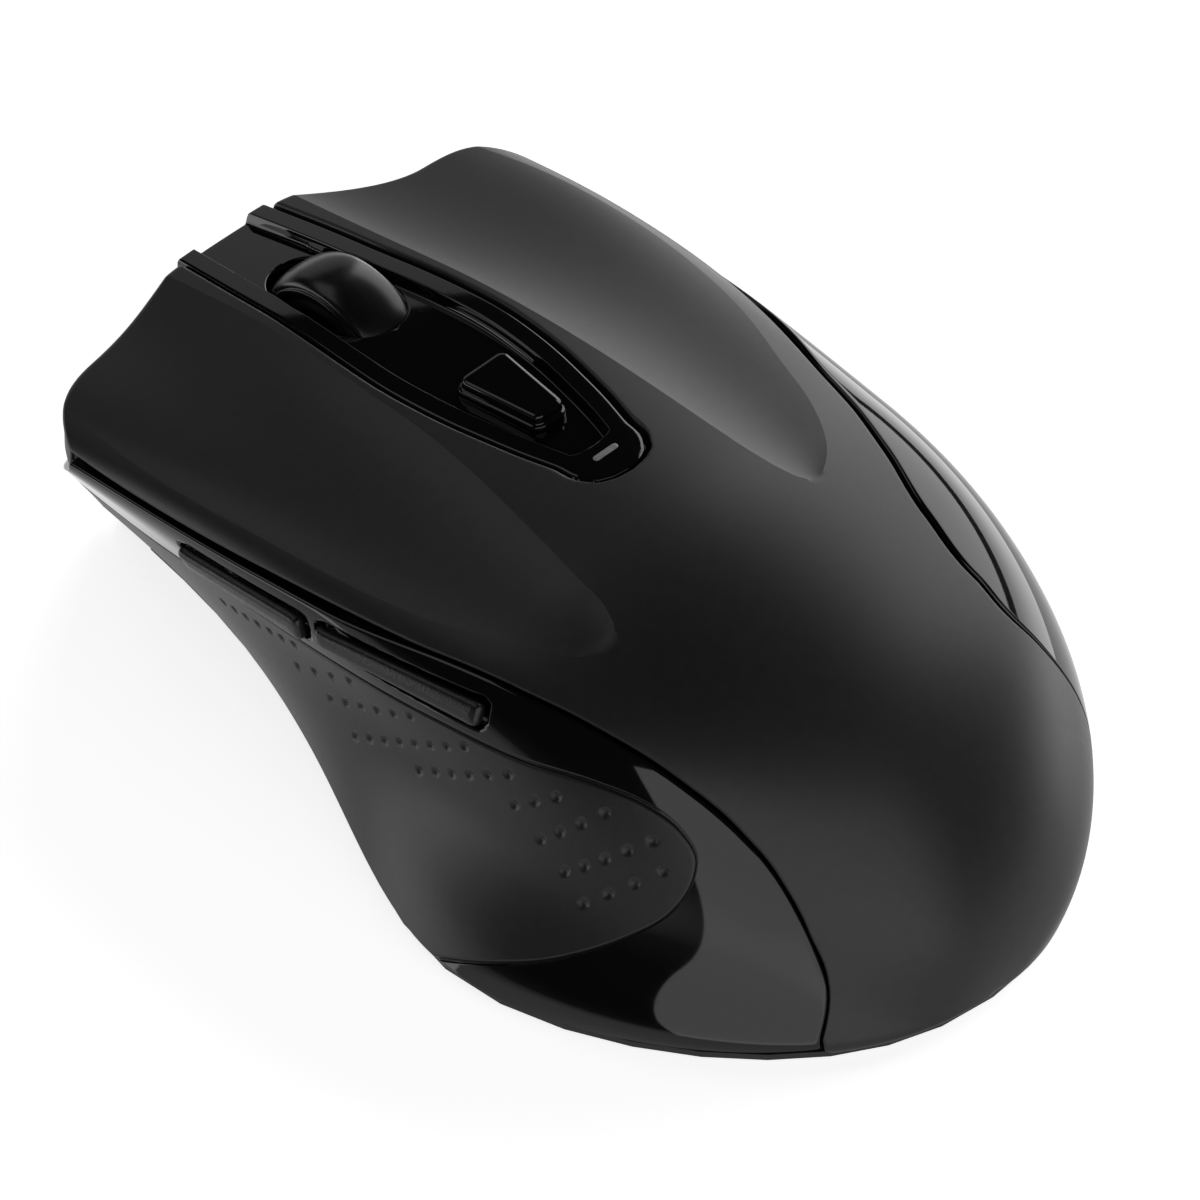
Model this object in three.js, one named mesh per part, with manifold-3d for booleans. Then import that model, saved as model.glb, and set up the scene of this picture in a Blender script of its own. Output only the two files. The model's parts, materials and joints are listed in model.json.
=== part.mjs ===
// A right-handed wireless optical computer mouse, built as an assembly of separate pieces.
// Millimetres. +Z is up, +Y points to the nose, +X is the mouse's right-hand side, and z = 0 is the table.
import * as THREE from "three";
import { mergeVertices } from "three/addons/utils/BufferGeometryUtils.js";
import Module from "manifold-3d";

const wasm = await Module();
wasm.setup();

// ---------------------------------------------------------------- driving dimensions
const REAR_Y = -53; // rearmost point of the body
const NOSE_Y = 53; // foremost point of the body
const CLOSE_Y = -8; // behind this the body rounds off to the rear
const SHELL_Z = 1.5; // lower edge of the side walls
const PLAN_ROUND = 2.32; // superellipse exponent of the rear seen from above
const SIDE_ROUND = 1.9; // the same, seen from the side

// The outer skin hangs on eleven lengthwise rails, from the left foot over the crown to the right foot.
// Each rail has six stations, evenly spaced from the rear to the nose.
const RAILS = [
  { x: [-30, -35, -37, -26, -19, -18], z: [1.5, 1.5, 1.5, 1.5, 1.5, 1.5] },
  { x: [-31, -36, -34, -26, -22, -21], z: [4.5, 4.5, 5.5, 6.5, 7, 7] },
  { x: [-26, -30, -27.5, -26, -26.5, -27], z: [9.5, 11.5, 14, 16, 16.5, 16.5] },
  { x: [-21, -26, -28, -29.5, -30.5, -30], z: [19, 22, 24, 24.5, 23, 18.5] },
  { x: [-13.5, -19.5, -22.5, -25, -26.5, -26], z: [31, 32.5, 31.5, 30.5, 28, 22.5] },
  { x: [0, 0, 0, 0, 0, 0], z: [35.5, 37.5, 36.5, 34.5, 31.5, 25.5] },
  { x: [14.5, 20.5, 23.5, 26, 27, 26], z: [31, 32.5, 32, 31.5, 28.5, 22] },
  { x: [25, 30.5, 30, 30.5, 31, 30], z: [21, 25, 26.5, 26, 24, 18.5] },
  { x: [30, 34, 28.5, 25.5, 26, 27], z: [13, 15, 16, 16.5, 16.5, 15.5] },
  { x: [28.5, 34, 32, 27.5, 23.5, 22], z: [7, 7.5, 7.5, 7.5, 7.5, 7.5] },
  { x: [25, 34, 35.5, 29.5, 22.5, 18.5], z: [1.5, 1.5, 1.5, 1.5, 1.5, 1.5] },
];

// Seams between the top cover and the side panels, as (y, z) seen from the side.
const LEFT_SEAM = [
  [-48, 1.5], [-46.6, 7], [-43.6, 13.2], [-39.8, 18.4], [-35.7, 22], [-28.6, 25.8], [-20, 28],
  [-12, 28.4], [0, 27.2], [14, 25.6], [28, 23.6], [42, 21.8], [54, 20.8],
];
const RIGHT_SEAM = [
  [-42.5, 1.5], [-40.5, 9], [-38, 16.5], [-35, 22], [-30, 26.6], [-23, 29.8], [-15, 31],
  [-5, 30.6], [7, 29], [20, 26.6], [32, 24.2], [43, 22], [54, 20.8],
];
// Half width of the centre console along its length, as (y, half width).
const CONSOLE_EDGE = [[-2.8, 0.6], [-2.2, 2.5], [-1, 3.6], [2.5, 4.5], [6, 5.4], [10, 6.2], [14, 6.9], [18, 7.35],
  [23, 7.6], [28, 7.4], [33, 7], [38.5, 6.5], [44, 6.2], [54, 5.5]];
// The two finger dishes, as (y, distance from the middle) of their inner and outer creases.
const DISH_INNER = {
  left: [[-16.5, 15.5], [-16.2, 14.5], [-15.1, 13.7], [-13.4, 13.1], [-9.6, 12.7], [-6.5, 12.2], [0, 11.2],
    [13, 9.5], [25, 8.9], [40, 8.1], [54, 8]],
  right: [[-15.2, 12.4], [-14.9, 11.6], [-14.3, 11.1], [-12.5, 10.4], [-9.1, 9.8], [-5, 9.6], [0.3, 9.5],
    [13, 9.3], [25, 8.9], [40, 8.1], [54, 8]],
};
const DISH_OUTER = {
  left: [[-16.5, 15.6], [-16.3, 16.6], [-15.7, 17.7], [-13.7, 19.1], [-11, 20.3], [-7.9, 21.4], [-2.1, 23.4],
    [4.9, 24.9], [11.9, 25.9], [19.5, 26.6], [28, 27.2], [38, 27], [45, 26], [54, 24.5]],
  right: [[-15.2, 12.5], [-14.9, 13.4], [-14.3, 14.3], [-12.8, 16], [-11.1, 17.3], [-8.1, 19], [-0.1, 21.9],
    [8, 24.6], [16, 26.2], [28, 27.2], [38, 27], [45, 26], [54, 24.5]],
};
const DISH_SLOPE = 0.22; // at the dish's edges, so its depth follows its width

// The body is wider on the thumb side: this is the middle of its bounding box in plan.
const BOX_CENTRE = new THREE.Vector3(-0.47, 0.3, 0);

const COVER_WALL = 1.9;
const BUTTON_WALL = 1.6;
const PANEL_WALL = 1.8;
const GAP = 0.3; // clearance between neighbouring pieces
const HINGE_Y = -19; // the buttons flex about this line
const SPINE_HALF = 6.4; // half width of the cover's tongue behind the console
const SPINE_FRONT_Y = 5; // where that tongue ends

// How far the nose steps back from the console, and then again at its corners.
const NOSE = {
  left: { step: 2.2, corner: 6.8, power: 8 },
  right: { step: 5.2, corner: 5.8, power: 14 },
};
const NOSE_CORNER_X = 28.5;

const CONSOLE_DROP = 0.25; // console top below the skin
const CONSOLE_THICK = 3;
const CHANNEL_DEPTH = 1.2;
const CHANNEL_RAIL = 2.05; // width of the rail on each side of the channel
const CHANNEL_REAR_Y = 2;
const SLOT = { rear: 29.3, front: 45.5, halfWidth: 4.4, corner: 4 };

const WHEEL = { y: 35.6, z: 21.7, radius: 9.2, edgeRadius: 8.4, halfWidth: 3.4, tyreInner: 7, hubBore: 1.7 };
const AXLE_RADIUS = 1.5;
const DPI = { rearY: 7.8, frontY: 17.6, rearHalf: 1.75, frontHalf: 2.95, corner: 0.8, proud: 0.5 };
const LED = { y: 0.4, halfLength: 1.5, halfWidth: 0.4 };

// Side buttons as slanted strips seen from the left: y and z of the lower edge, front to rear, and height.
const SIDE_KEYS = {
  forward_button: { y: [28, 11.4], z: [18, 20.4], height: 2.7 },
  back_button: { y: [9.4, -10.8], z: [21.6, 24.3], height: 2.1 },
};
const KEY_PROUD = 1;
// Outline of the thumb grip seen from the left, as (y, z), from the front over the top to the rear lobe.
const GRIP_EDGE = [
  [50, 8.5], [40, 11], [30, 14.6], [20, 17], [10, 19], [0, 20.9], [-8, 22.4], [-16, 23.4], [-23, 24],
  [-28, 23.4], [-31.6, 21.8], [-33.9, 19.4], [-34.3, 16.8], [-33.4, 13.8], [-30.5, 10.6], [-26, 7.4],
  [-20, 4.4], [-14, 0.6],
];

const BASE = { bottom: 0.6, ledge: 1.3, floor: 2.6, rimInset: 0.5, floorInset: 3.2 };
const DOOR = { halfWidth: 11.5, rearY: -45.2, frontY: 9.7, top: 1.25, travel: 3 };
const BATTERY = { radius: 7.1, rearY: -42.8, frontY: 7.2, z: 9.9, nubRadius: 2.7, nubLength: 1 };
const BAY_HALF_WIDTH = 8.2;
const BOARD = { z: 4.6, thick: 1.2, halfWidth: 17, rearY: 11.5, frontY: 43.2 };
const SENSOR_Y = 17.5;
const SWITCH_SIZE = { x: 5.8, y: 12.8, z: 6.5 };
const SWITCH_AT = { x: 13, y: 36.5 };
const FRAME = { bottom: 14.6, top: 16, halfWidth: 19, rearY: 11.5, frontY: 43.2 };
const SCREWS = {
  case_screw_front_left: { x: -14.5, y: 24, reach: 12 },
  case_screw_front_right: { x: 14.5, y: 24, reach: 12 },
  case_screw_rear_left: { x: -14.5, y: -27, reach: 12 },
  case_screw_rear_right: { x: 14.5, y: -27, reach: 12 },
};
const SCREW = { headRadius: 2.2, headTop: 2.2, headBottom: 0.9, shaftRadius: 1, bossRadius: 2.7 };
const RECEIVER = { x: 21, y: -8, width: 6, length: 14.6, shellHeight: 7, plugWidth: 4.5, plugLength: 12, plugTop: 20 };
const POWER = { x: -8.8, y: 22, halfWidth: 2.2, halfLength: 3.4, travel: 3 };
const FEET = {
  foot_front_left: { x: -10, y: 43, halfX: 5.5, halfY: 2.2, turn: 18 },
  foot_front_right: { x: 10, y: 43, halfX: 5.5, halfY: 2.2, turn: -18 },
  foot_rear_left: { x: -20.5, y: -37, halfX: 5, halfY: 2.6, turn: -48 },
  foot_rear_right: { x: 20.5, y: -37, halfX: 5, halfY: 2.6, turn: 48 },
};

// ---------------------------------------------------------------- materials
const look = (color, roughness, metalness = 0) => new THREE.MeshStandardMaterial({ color, roughness, metalness });
const MATERIALS = {
  softTouch: look(0x1d1e20, 0.55),
  gloss: look(0x0b0b0c, 0.08),
  rubber: look(0x141516, 0.6),
  plastic: look(0x202123, 0.5),
  lens: look(0xc9ced4, 0.1),
  window: look(0x8f9496, 0.35),
  board: look(0x1c5a34, 0.5),
  metal: look(0xb9bcc0, 0.3, 1),
  cell: look(0x3a6ea8, 0.35),
  glide: look(0x2b2c2e, 0.3),
};

// ---------------------------------------------------------------- curves and the outer skin
// Uniform cubic B-spline through the value list; t counts stations from 0.
function spline(values, t) {
  const last = values.length - 1;
  const at = (i) => {
    if (i < 0) return 2 * values[0] - values[1];
    return i > last ? 2 * values[last] - values[last - 1] : values[i];
  };
  const i = Math.min(Math.max(Math.floor(t), 0), last - 1);
  const f = t - i;
  const weights = [(1 - f) ** 3, 3 * f ** 3 - 6 * f ** 2 + 4, -3 * f ** 3 + 3 * f ** 2 + 3 * f + 1, f ** 3];
  return weights.reduce((sum, w, k) => sum + w * at(i + k - 1), 0) / 6;
}

// Second coordinate of a smooth curve through 2-D points whose first coordinate rises.
function heightAt(points, first) {
  const curve = new THREE.SplineCurve(points.map(([a, b]) => new THREE.Vector2(a, b)));
  let low = 0;
  let high = 1;
  for (let k = 0; k < 30; k += 1) {
    const middle = (low + high) / 2;
    if (curve.getPoint(middle).x < first) low = middle;
    else high = middle;
  }
  return curve.getPoint((low + high) / 2).y;
}

const superellipse = (share, exponent) => (1 - share ** exponent) ** (1 / exponent);

// Plan curve of the nose: the console leads, and the buttons step back to rounded corners.
function noseY(x) {
  const across = Math.abs(x);
  const { step, corner, power } = x < 0 ? NOSE.left : NOSE.right;
  return NOSE_Y - step * THREE.MathUtils.smoothstep(across, 6, 20) - corner * (across / NOSE_CORNER_X) ** power;
}

// A point of the skin at length y and girth share v (0 left foot, 0.5 crown, 1 right foot), moved inwards by inset.
function skin(y, v, inset = 0) {
  const station = ((y - REAR_Y) / (NOSE_Y - REAR_Y)) * 5;
  const share = THREE.MathUtils.clamp((CLOSE_Y - y) / (CLOSE_Y - REAR_Y - inset), 0, 1);
  const inPlan = superellipse(share, PLAN_ROUND);
  const inSide = superellipse(share, SIDE_ROUND);
  const ribs = RAILS.map((rail) => [
    spline(rail.x, station) * inPlan,
    SHELL_Z + (spline(rail.z, station) - SHELL_Z) * inSide,
  ]);
  const moved = ribs.map(([x, z], i) => {
    const before = ribs[Math.max(i - 1, 0)];
    const after = ribs[Math.min(i + 1, ribs.length - 1)];
    const run = [after[0] - before[0], after[1] - before[1]];
    const size = Math.hypot(run[0], run[1]) || 1;
    const atFoot = i === 0 || i === ribs.length - 1;
    return [x + (inset * run[1]) / size, atFoot ? z : Math.max(z - (inset * run[0]) / size, SHELL_Z)];
  });
  const girth = v * (RAILS.length - 1);
  return new THREE.Vector3(
    spline(moved.map((p) => p[0]), girth),
    y,
    spline(moved.map((p) => p[1]), girth),
  );
}

// Length of row t: -1 is the rear pole, 0 the closing line, 1 the nose edge, which follows the nose's plan curve.
function rowY(t, v, inset = 0) {
  if (t <= 0) return CLOSE_Y - (CLOSE_Y - REAR_Y - inset) * Math.sin((-t * Math.PI) / 2);
  const frontX = spline(RAILS.map((rail) => rail.x[rail.x.length - 1]), v * (RAILS.length - 1));
  return CLOSE_Y + t * (noseY(frontX) - inset - CLOSE_Y);
}
const rowAt = (y) => (y < CLOSE_Y ? (-2 / Math.PI) * Math.asin((CLOSE_Y - y) / (CLOSE_Y - REAR_Y)) : 0);
const skinRow = (t, v, inset = 0) => skin(rowY(t, v, inset), v, inset);

function bisect(test, low, high) {
  for (let k = 0; k < 26; k += 1) {
    const middle = (low + high) / 2;
    if (test(middle)) low = middle;
    else high = middle;
  }
  return (low + high) / 2;
}
const CROWN = 0.5;
const girthAtX = (t, x) => bisect((v) => Math.abs(skinRow(t, v).x) < Math.abs(x), CROWN, x < 0 ? 0.27 : 0.73);
function girthAtSeam(t, side) {
  const seam = side < 0 ? LEFT_SEAM : RIGHT_SEAM;
  const end = side < 0 ? 0 : 1;
  return bisect((v) => {
    const p = skinRow(t, v);
    return p.y < seam[0][0] || p.z > heightAt(seam, p.y);
  }, CROWN, end);
}
function crownZ(x, y) {
  const v = bisect((g) => Math.abs(skin(y, g).x) < Math.abs(x), CROWN, x < 0 ? 0.27 : 0.73);
  return skin(y, v).z;
}

function dishDepth(x, y) {
  const across = Math.abs(x);
  const side = x < 0 ? "left" : "right";
  const inner = heightAt(DISH_INNER[side], y);
  const outer = heightAt(DISH_OUTER[side], y);
  if (y < DISH_INNER[side][0][0] || across < inner || across > outer) return 0;
  const share = (2 * across - inner - outer) / (outer - inner);
  return (DISH_SLOPE * (outer - inner) * (1 - share ** 2)) / 4;
}

// ---------------------------------------------------------------- solids
const SMALL = 1e-6;

function solidFrom(positions, index) {
  const raw = new THREE.BufferGeometry();
  raw.setAttribute("position", new THREE.Float32BufferAttribute(positions, 3));
  raw.setIndex(index);
  return solidOf(raw);
}

function solidOf(geometry) {
  const bare = geometry.index ? geometry.clone() : geometry;
  for (const name of Object.keys(bare.attributes)) {
    if (name !== "position") bare.deleteAttribute(name);
  }
  const merged = mergeVertices(bare, 1e-4);
  const kept = [];
  const old = merged.index.array;
  for (let i = 0; i < old.length; i += 3) {
    const [a, b, c] = [old[i], old[i + 1], old[i + 2]];
    if (a !== b && b !== c && a !== c) kept.push(a, b, c);
  }
  const build = (triVerts) =>
    new wasm.Manifold(
      new wasm.Mesh({
        numProp: 3,
        vertProperties: new Float32Array(merged.attributes.position.array),
        triVerts: new Uint32Array(triVerts),
      }),
    );
  const made = build(kept);
  if (made.volume() > -SMALL) return made;
  const turned = [];
  for (let i = 0; i < kept.length; i += 3) turned.push(kept[i], kept[i + 2], kept[i + 1]);
  return build(turned);
}

function geometryOf(solid) {
  const mesh = solid.getMesh();
  const geometry = new THREE.BufferGeometry();
  geometry.setAttribute("position", new THREE.BufferAttribute(new Float32Array(mesh.vertProperties), 3));
  geometry.setIndex(new THREE.BufferAttribute(new Uint32Array(mesh.triVerts), 1));
  const flat = geometry.toNonIndexed();
  flat.computeVertexNormals();
  return flat;
}

// A closed wall between two equal grids of points.
function gridSolid(outer, inner) {
  const rows = outer.length;
  const columns = outer[0].length;
  const positions = [...outer.flat(), ...inner.flat()].flatMap((p) => [p.x, p.y, p.z]);
  const index = [];
  const quad = (a, b, c, d) => index.push(a, b, c, a, c, d);
  const at = (i, j, layer) => layer * rows * columns + i * columns + j;
  for (let i = 0; i < rows - 1; i += 1) {
    for (let j = 0; j < columns - 1; j += 1) {
      quad(at(i, j, 0), at(i, j + 1, 0), at(i + 1, j + 1, 0), at(i + 1, j, 0));
      quad(at(i, j, 1), at(i + 1, j, 1), at(i + 1, j + 1, 1), at(i, j + 1, 1));
    }
    quad(at(i, 0, 1), at(i, 0, 0), at(i + 1, 0, 0), at(i + 1, 0, 1));
    quad(at(i, columns - 1, 0), at(i, columns - 1, 1), at(i + 1, columns - 1, 1), at(i + 1, columns - 1, 0));
  }
  for (let j = 0; j < columns - 1; j += 1) {
    quad(at(0, j, 1), at(0, j + 1, 1), at(0, j + 1, 0), at(0, j, 0));
    quad(at(rows - 1, j, 0), at(rows - 1, j + 1, 0), at(rows - 1, j + 1, 1), at(rows - 1, j, 1));
  }
  return solidFrom(positions, index);
}

const spread = (from, to, steps) => Array.from({ length: steps + 1 }, (_, i) => from + ((to - from) * i) / steps);

// A wall of the skin: rows of t, a list of girths for each row, and the depths of its two faces.
function skinWall(rows, girths, outerInset, wall, extra = () => 0) {
  const layer = (inset) =>
    rows.map((t) =>
      girths(t).map((v) => {
        const p = skinRow(t, v, inset);
        p.z -= extra(p.x, p.y);
        return p;
      }),
    );
  return gridSolid(layer(outerInset), layer(outerInset + wall));
}

// A slab that follows the crown between two heights relative to it.
function crownSlab(halfWidth, rearY, frontY, low, high) {
  const ys = spread(rearY, frontY, 22);
  const xs = spread(-halfWidth, halfWidth, 6);
  const layer = (rise) => ys.map((y) => xs.map((x) => new THREE.Vector3(x, y, crownZ(x, y) + rise)));
  return gridSolid(layer(high), layer(low));
}

// Prism of a plan outline [[x, y], ...] between two heights.
function prism(outline, low, high) {
  const shape = new THREE.Shape(outline.map(([x, y]) => new THREE.Vector2(x, y)));
  const geometry = new THREE.ExtrudeGeometry(shape, { depth: high - low, bevelEnabled: false });
  return solidOf(geometry.translate(0, 0, low));
}

// Prism of a side outline [[y, z], ...] between two x.
function sidePrism(outline, low, high) {
  const shape = new THREE.Shape(outline.map(([y, z]) => new THREE.Vector2(y, z)));
  const geometry = new THREE.ExtrudeGeometry(shape, { depth: high - low, bevelEnabled: false });
  const turn = new THREE.Matrix4().makeBasis(
    new THREE.Vector3(0, 1, 0),
    new THREE.Vector3(0, 0, 1),
    new THREE.Vector3(1, 0, 0),
  );
  return solidOf(geometry.applyMatrix4(turn).translate(low, 0, 0));
}

function block(x, y, z) {
  const geometry = new THREE.BoxGeometry(x[1] - x[0], y[1] - y[0], z[1] - z[0]);
  return solidOf(geometry.translate((x[0] + x[1]) / 2, (y[0] + y[1]) / 2, (z[0] + z[1]) / 2));
}

const ROUND_SIDES = 24;
function post(x, y, radius, low, high) {
  const geometry = new THREE.CylinderGeometry(radius, radius, high - low, ROUND_SIDES).rotateX(Math.PI / 2);
  return solidOf(geometry.translate(x, y, (low + high) / 2));
}
function crossRod(y, z, radius, from, to, sides = ROUND_SIDES) {
  const geometry = new THREE.CylinderGeometry(radius, radius, to - from, sides).rotateZ(Math.PI / 2);
  return solidOf(geometry.translate((from + to) / 2, y, z));
}
function longRod(x, z, radius, from, to) {
  const geometry = new THREE.CylinderGeometry(radius, radius, to - from, ROUND_SIDES);
  return solidOf(geometry.translate(x, (from + to) / 2, z));
}
// Solid of revolution about a line along X: profile [[radius, x], ...].
function crossLathe(profile, y, z, sides = 40) {
  const geometry = new THREE.LatheGeometry(profile.map(([r, x]) => new THREE.Vector2(r, x)), sides);
  return solidOf(geometry.rotateZ(-Math.PI / 2).translate(0, y, z));
}

const join = (solids) => solids.reduce((all, one) => all.add(one));
const cut = (solid, tools) => tools.reduce((rest, tool) => rest.subtract(tool), solid);

// Rounds the corners of a closed outline with arcs of the given radius.
function roundedOutline(corners, radius, steps = 5) {
  const points = [];
  corners.forEach((corner, i) => {
    const here = new THREE.Vector2(...corner);
    const before = new THREE.Vector2(...corners[(i + corners.length - 1) % corners.length]).sub(here).normalize();
    const after = new THREE.Vector2(...corners[(i + 1) % corners.length]).sub(here).normalize();
    const half = Math.acos(THREE.MathUtils.clamp(before.dot(after), -1, 1)) / 2;
    const centre = before.clone().add(after).normalize().multiplyScalar(radius / Math.sin(half)).add(here);
    const start = here.clone().add(before.multiplyScalar(radius / Math.tan(half))).sub(centre);
    const end = here.clone().add(after.multiplyScalar(radius / Math.tan(half))).sub(centre);
    const swing = Math.atan2(start.cross(end), start.dot(end));
    for (const share of spread(0, 1, steps)) {
      const p = start.clone().rotateAround(new THREE.Vector2(), swing * share).add(centre);
      points.push([p.x, p.y]);
    }
  });
  return points;
}

// ---------------------------------------------------------------- assembly
const mouse = new THREE.Group();

function part(name, solid, material) {
  const mesh = new THREE.Mesh(geometryOf(solid), material);
  mesh.name = name;
  mouse.add(mesh);
}

// ---------------------------------------------------------------- top cover and main buttons
const HINGE_ROW = rowAt(HINGE_Y);
const PANEL_REAR = { left: rowAt(-46.8), right: rowAt(-41.6) };
// Neighbouring pieces share these rows, so the gap between them stays even.
const REAR_ROWS = [
  ...spread(-1, PANEL_REAR.left, 6),
  ...spread(PANEL_REAR.left, PANEL_REAR.right, 2).slice(1),
  ...spread(PANEL_REAR.right, HINGE_ROW, 6).slice(1),
];
const SPINE_FRONT_ROW = (SPINE_FRONT_Y - CLOSE_Y) / (NOSE_Y - CLOSE_Y);
const BUTTON_ROWS = [
  HINGE_ROW, rowAt(-15), rowAt(-11.5), 0, 0.06, 0.12, SPINE_FRONT_ROW,
  0.28, 0.37, 0.48, 0.6, 0.72, 0.82, 0.9, 0.96, 1,
];
const consoleHalf = (y) => heightAt(CONSOLE_EDGE, y);

function coverRear() {
  const rows = [...REAR_ROWS.slice(0, -1), rowAt(HINGE_Y - GAP)];
  return skinWall(rows, (t) => spread(girthAtSeam(t, -1), girthAtSeam(t, 1), 22), 0, COVER_WALL);
}
function coverSpine() {
  const rows = [rowAt(HINGE_Y - 1), ...BUTTON_ROWS.filter((t) => t <= SPINE_FRONT_ROW)];
  const half = SPINE_HALF - GAP;
  const spine = skinWall(rows, (t) => spread(girthAtX(t, -half), girthAtX(t, half), 6), 0, COVER_WALL);
  const mouth = consoleOutline(GAP);
  return spine.subtract(prism(mouth, 0, 60));
}
function topCover() {
  const bosses = [-1, 1].map((side) => {
    const { x, y } = SCREWS.case_screw_rear_right;
    const { bossRadius } = SCREW;
    return post(side * x, y, bossRadius, 3.1, crownZ(side * (x + bossRadius), y - bossRadius) - 0.5);
  });
  const bores = [-1, 1].map((side) => {
    const { x, y, reach } = SCREWS.case_screw_rear_right;
    return post(side * x, y, SCREW.shaftRadius + 0.15, 2, reach + 0.6);
  });
  return cut(join([coverRear(), coverSpine(), ...bosses]), bores);
}

function consoleOutline(grow) {
  const ys = [-2.8, -2.5, -2, -1, 0.5, 2.5, 5, 8, 12, 16, 20, 25, 30, 35, 40, 45, 50, NOSE_Y + 1];
  const edge = ys.map((y) => [consoleHalf(y) + grow, y === ys[0] ? y - grow : y]);
  return [...edge, ...edge.map(([x, y]) => [-x, y]).reverse()];
}

function buttonGirths(t, side) {
  const y = rowY(t, CROWN);
  const hand = side < 0 ? "left" : "right";
  const innerEdge = t > SPINE_FRONT_ROW ? consoleHalf(y) + GAP : SPINE_HALF;
  const marks = [
    girthAtSeam(t, side),
    girthAtX(t, side * heightAt(DISH_OUTER[hand], y)),
    girthAtX(t, side * heightAt(DISH_INNER[hand], y)),
    girthAtX(t, side * innerEdge),
  ];
  return [
    ...spread(marks[0], marks[1], 2),
    ...spread(marks[1], marks[2], 6).slice(1),
    ...spread(marks[2], marks[3], 1).slice(1),
  ];
}
function mainButton(side) {
  const wall = skinWall(BUTTON_ROWS, (t) => buttonGirths(t, side), 0, BUTTON_WALL, dishDepth);
  const { x, y } = SWITCH_AT;
  const rib = block(
    [side * x - 1.5, side * x + 1.5],
    [y - 1.5, y + 1.5],
    [BOARD.z + BOARD.thick + SWITCH_SIZE.z + 1.2, crownZ(side * x, y) - 2.2],
  );
  const lip = noseLip(side);
  const console = prism(consoleOutline(GAP), 0, 60);
  return cut(join([wall, rib, lip]), [console]);
}
// The turned-down front edge of a button.
function noseLip(side) {
  const shares = spread(0.06, 0.92, 8);
  const from = CROWN;
  const to = girthAtSeam(1, side);
  const lipDrop = 3.2;
  const column = (share, back, drop) => {
    const v = from + (to - from) * share;
    const p = skinRow(1, v, 0);
    p.y -= back;
    p.z -= drop + dishDepth(p.x, p.y);
    return p;
  };
  const face = (back) => [0.4, lipDrop].map((drop) => shares.map((share) => column(share, back, drop)));
  return gridSolid(face(0.02), face(BUTTON_WALL));
}

part("top_cover", topCover(), MATERIALS.softTouch);
part("left_button", mainButton(-1), MATERIALS.softTouch);
part("right_button", mainButton(1), MATERIALS.softTouch);

// ---------------------------------------------------------------- centre console
function channelOutline() {
  const ys = [CHANNEL_REAR_Y, CHANNEL_REAR_Y + 0.5, 4, 6, 9, 13, 18, 24, 30, 37, 44, 49, NOSE_Y + 3];
  const round = (y) => Math.min(consoleHalf(y) - CHANNEL_RAIL, 0.9 + Math.sqrt(Math.max(y - CHANNEL_REAR_Y, 0)) * 1.8);
  const edge = ys.map((y) => [round(y), y]);
  return [...edge, ...edge.map(([x, y]) => [-x, y]).reverse()];
}
function rectangle(halfX, rearY, frontY) {
  return [[-halfX, rearY], [halfX, rearY], [halfX, frontY], [-halfX, frontY]];
}
function dpiOutline(grow) {
  const corners = [
    [-DPI.rearHalf - grow, DPI.rearY - grow],
    [DPI.rearHalf + grow, DPI.rearY - grow],
    [DPI.frontHalf + grow, DPI.frontY + grow],
    [-DPI.frontHalf - grow, DPI.frontY + grow],
  ];
  return roundedOutline(corners, DPI.corner + grow / 2);
}
function ledOutline(grow) {
  const box = rectangle(LED.halfLength + grow, LED.y - LED.halfWidth - grow, LED.y + LED.halfWidth + grow);
  return roundedOutline(box, LED.halfWidth + grow - 0.02, 4);
}

const SKIN_TO_FLOOR = CONSOLE_DROP + CHANNEL_DEPTH;
function centreConsole() {
  const slab = crownSlab(9, -4, NOSE_Y + 0.6, -CONSOLE_THICK - CONSOLE_DROP, -CONSOLE_DROP);
  const body = slab.intersect(prism(consoleOutline(-0.02), 0, 60));
  const channel = crownSlab(9, -4, NOSE_Y + 2, -SKIN_TO_FLOOR, 4).intersect(prism(channelOutline(), 0, 60));
  const slot = prism(roundedOutline(rectangle(SLOT.halfWidth, SLOT.rear, SLOT.front), SLOT.corner, 6), 0, 60);
  const relief = crossRod(WHEEL.y, WHEEL.z, WHEEL.radius + 0.5, -SLOT.halfWidth, SLOT.halfWidth);
  return cut(body, [channel, slot, relief, prism(dpiOutline(0.25), 0, 60), prism(ledOutline(0.12), 0, 60)]);
}
function dpiButton() {
  const key = crownSlab(6, 4, 22, -CONSOLE_THICK - 1.4, DPI.proud).intersect(prism(dpiOutline(0), 0, 60));
  const flange = crownSlab(6, 4, 22, -CONSOLE_THICK - 1.4, -CONSOLE_THICK - 0.7).intersect(prism(dpiOutline(0.9), 0, 60));
  return key.add(flange);
}
part("center_console", centreConsole(), MATERIALS.gloss);
part("dpi_button", dpiButton(), MATERIALS.gloss);
part(
  "led_window",
  crownSlab(4, -3, 4, -CONSOLE_THICK, -CONSOLE_DROP - 0.1).intersect(prism(ledOutline(0), 0, 60)),
  MATERIALS.window,
);

// ---------------------------------------------------------------- side panels, thumb grip and side buttons
// The dark gap under the top cover, as a share of the girth. It widens to the nose, where the buttons move most.
const SEAM_GAP = { rear: 0.0045, nose: 0.0138 };

function sideWall(side, outerInset, wall) {
  const rear = side < 0 ? PANEL_REAR.left : PANEL_REAR.right;
  const rows = [...REAR_ROWS.filter((t) => t >= rear), ...BUTTON_ROWS.slice(1)];
  const foot = side < 0 ? 0 : 1;
  const gap = (t) => THREE.MathUtils.lerp(SEAM_GAP.rear, SEAM_GAP.nose, Math.max(t, 0));
  const top = (t) => girthAtSeam(t, side) + side * gap(t);
  return skinWall(rows, (t) => spread(foot, top(t), 10), outerInset, wall);
}

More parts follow.
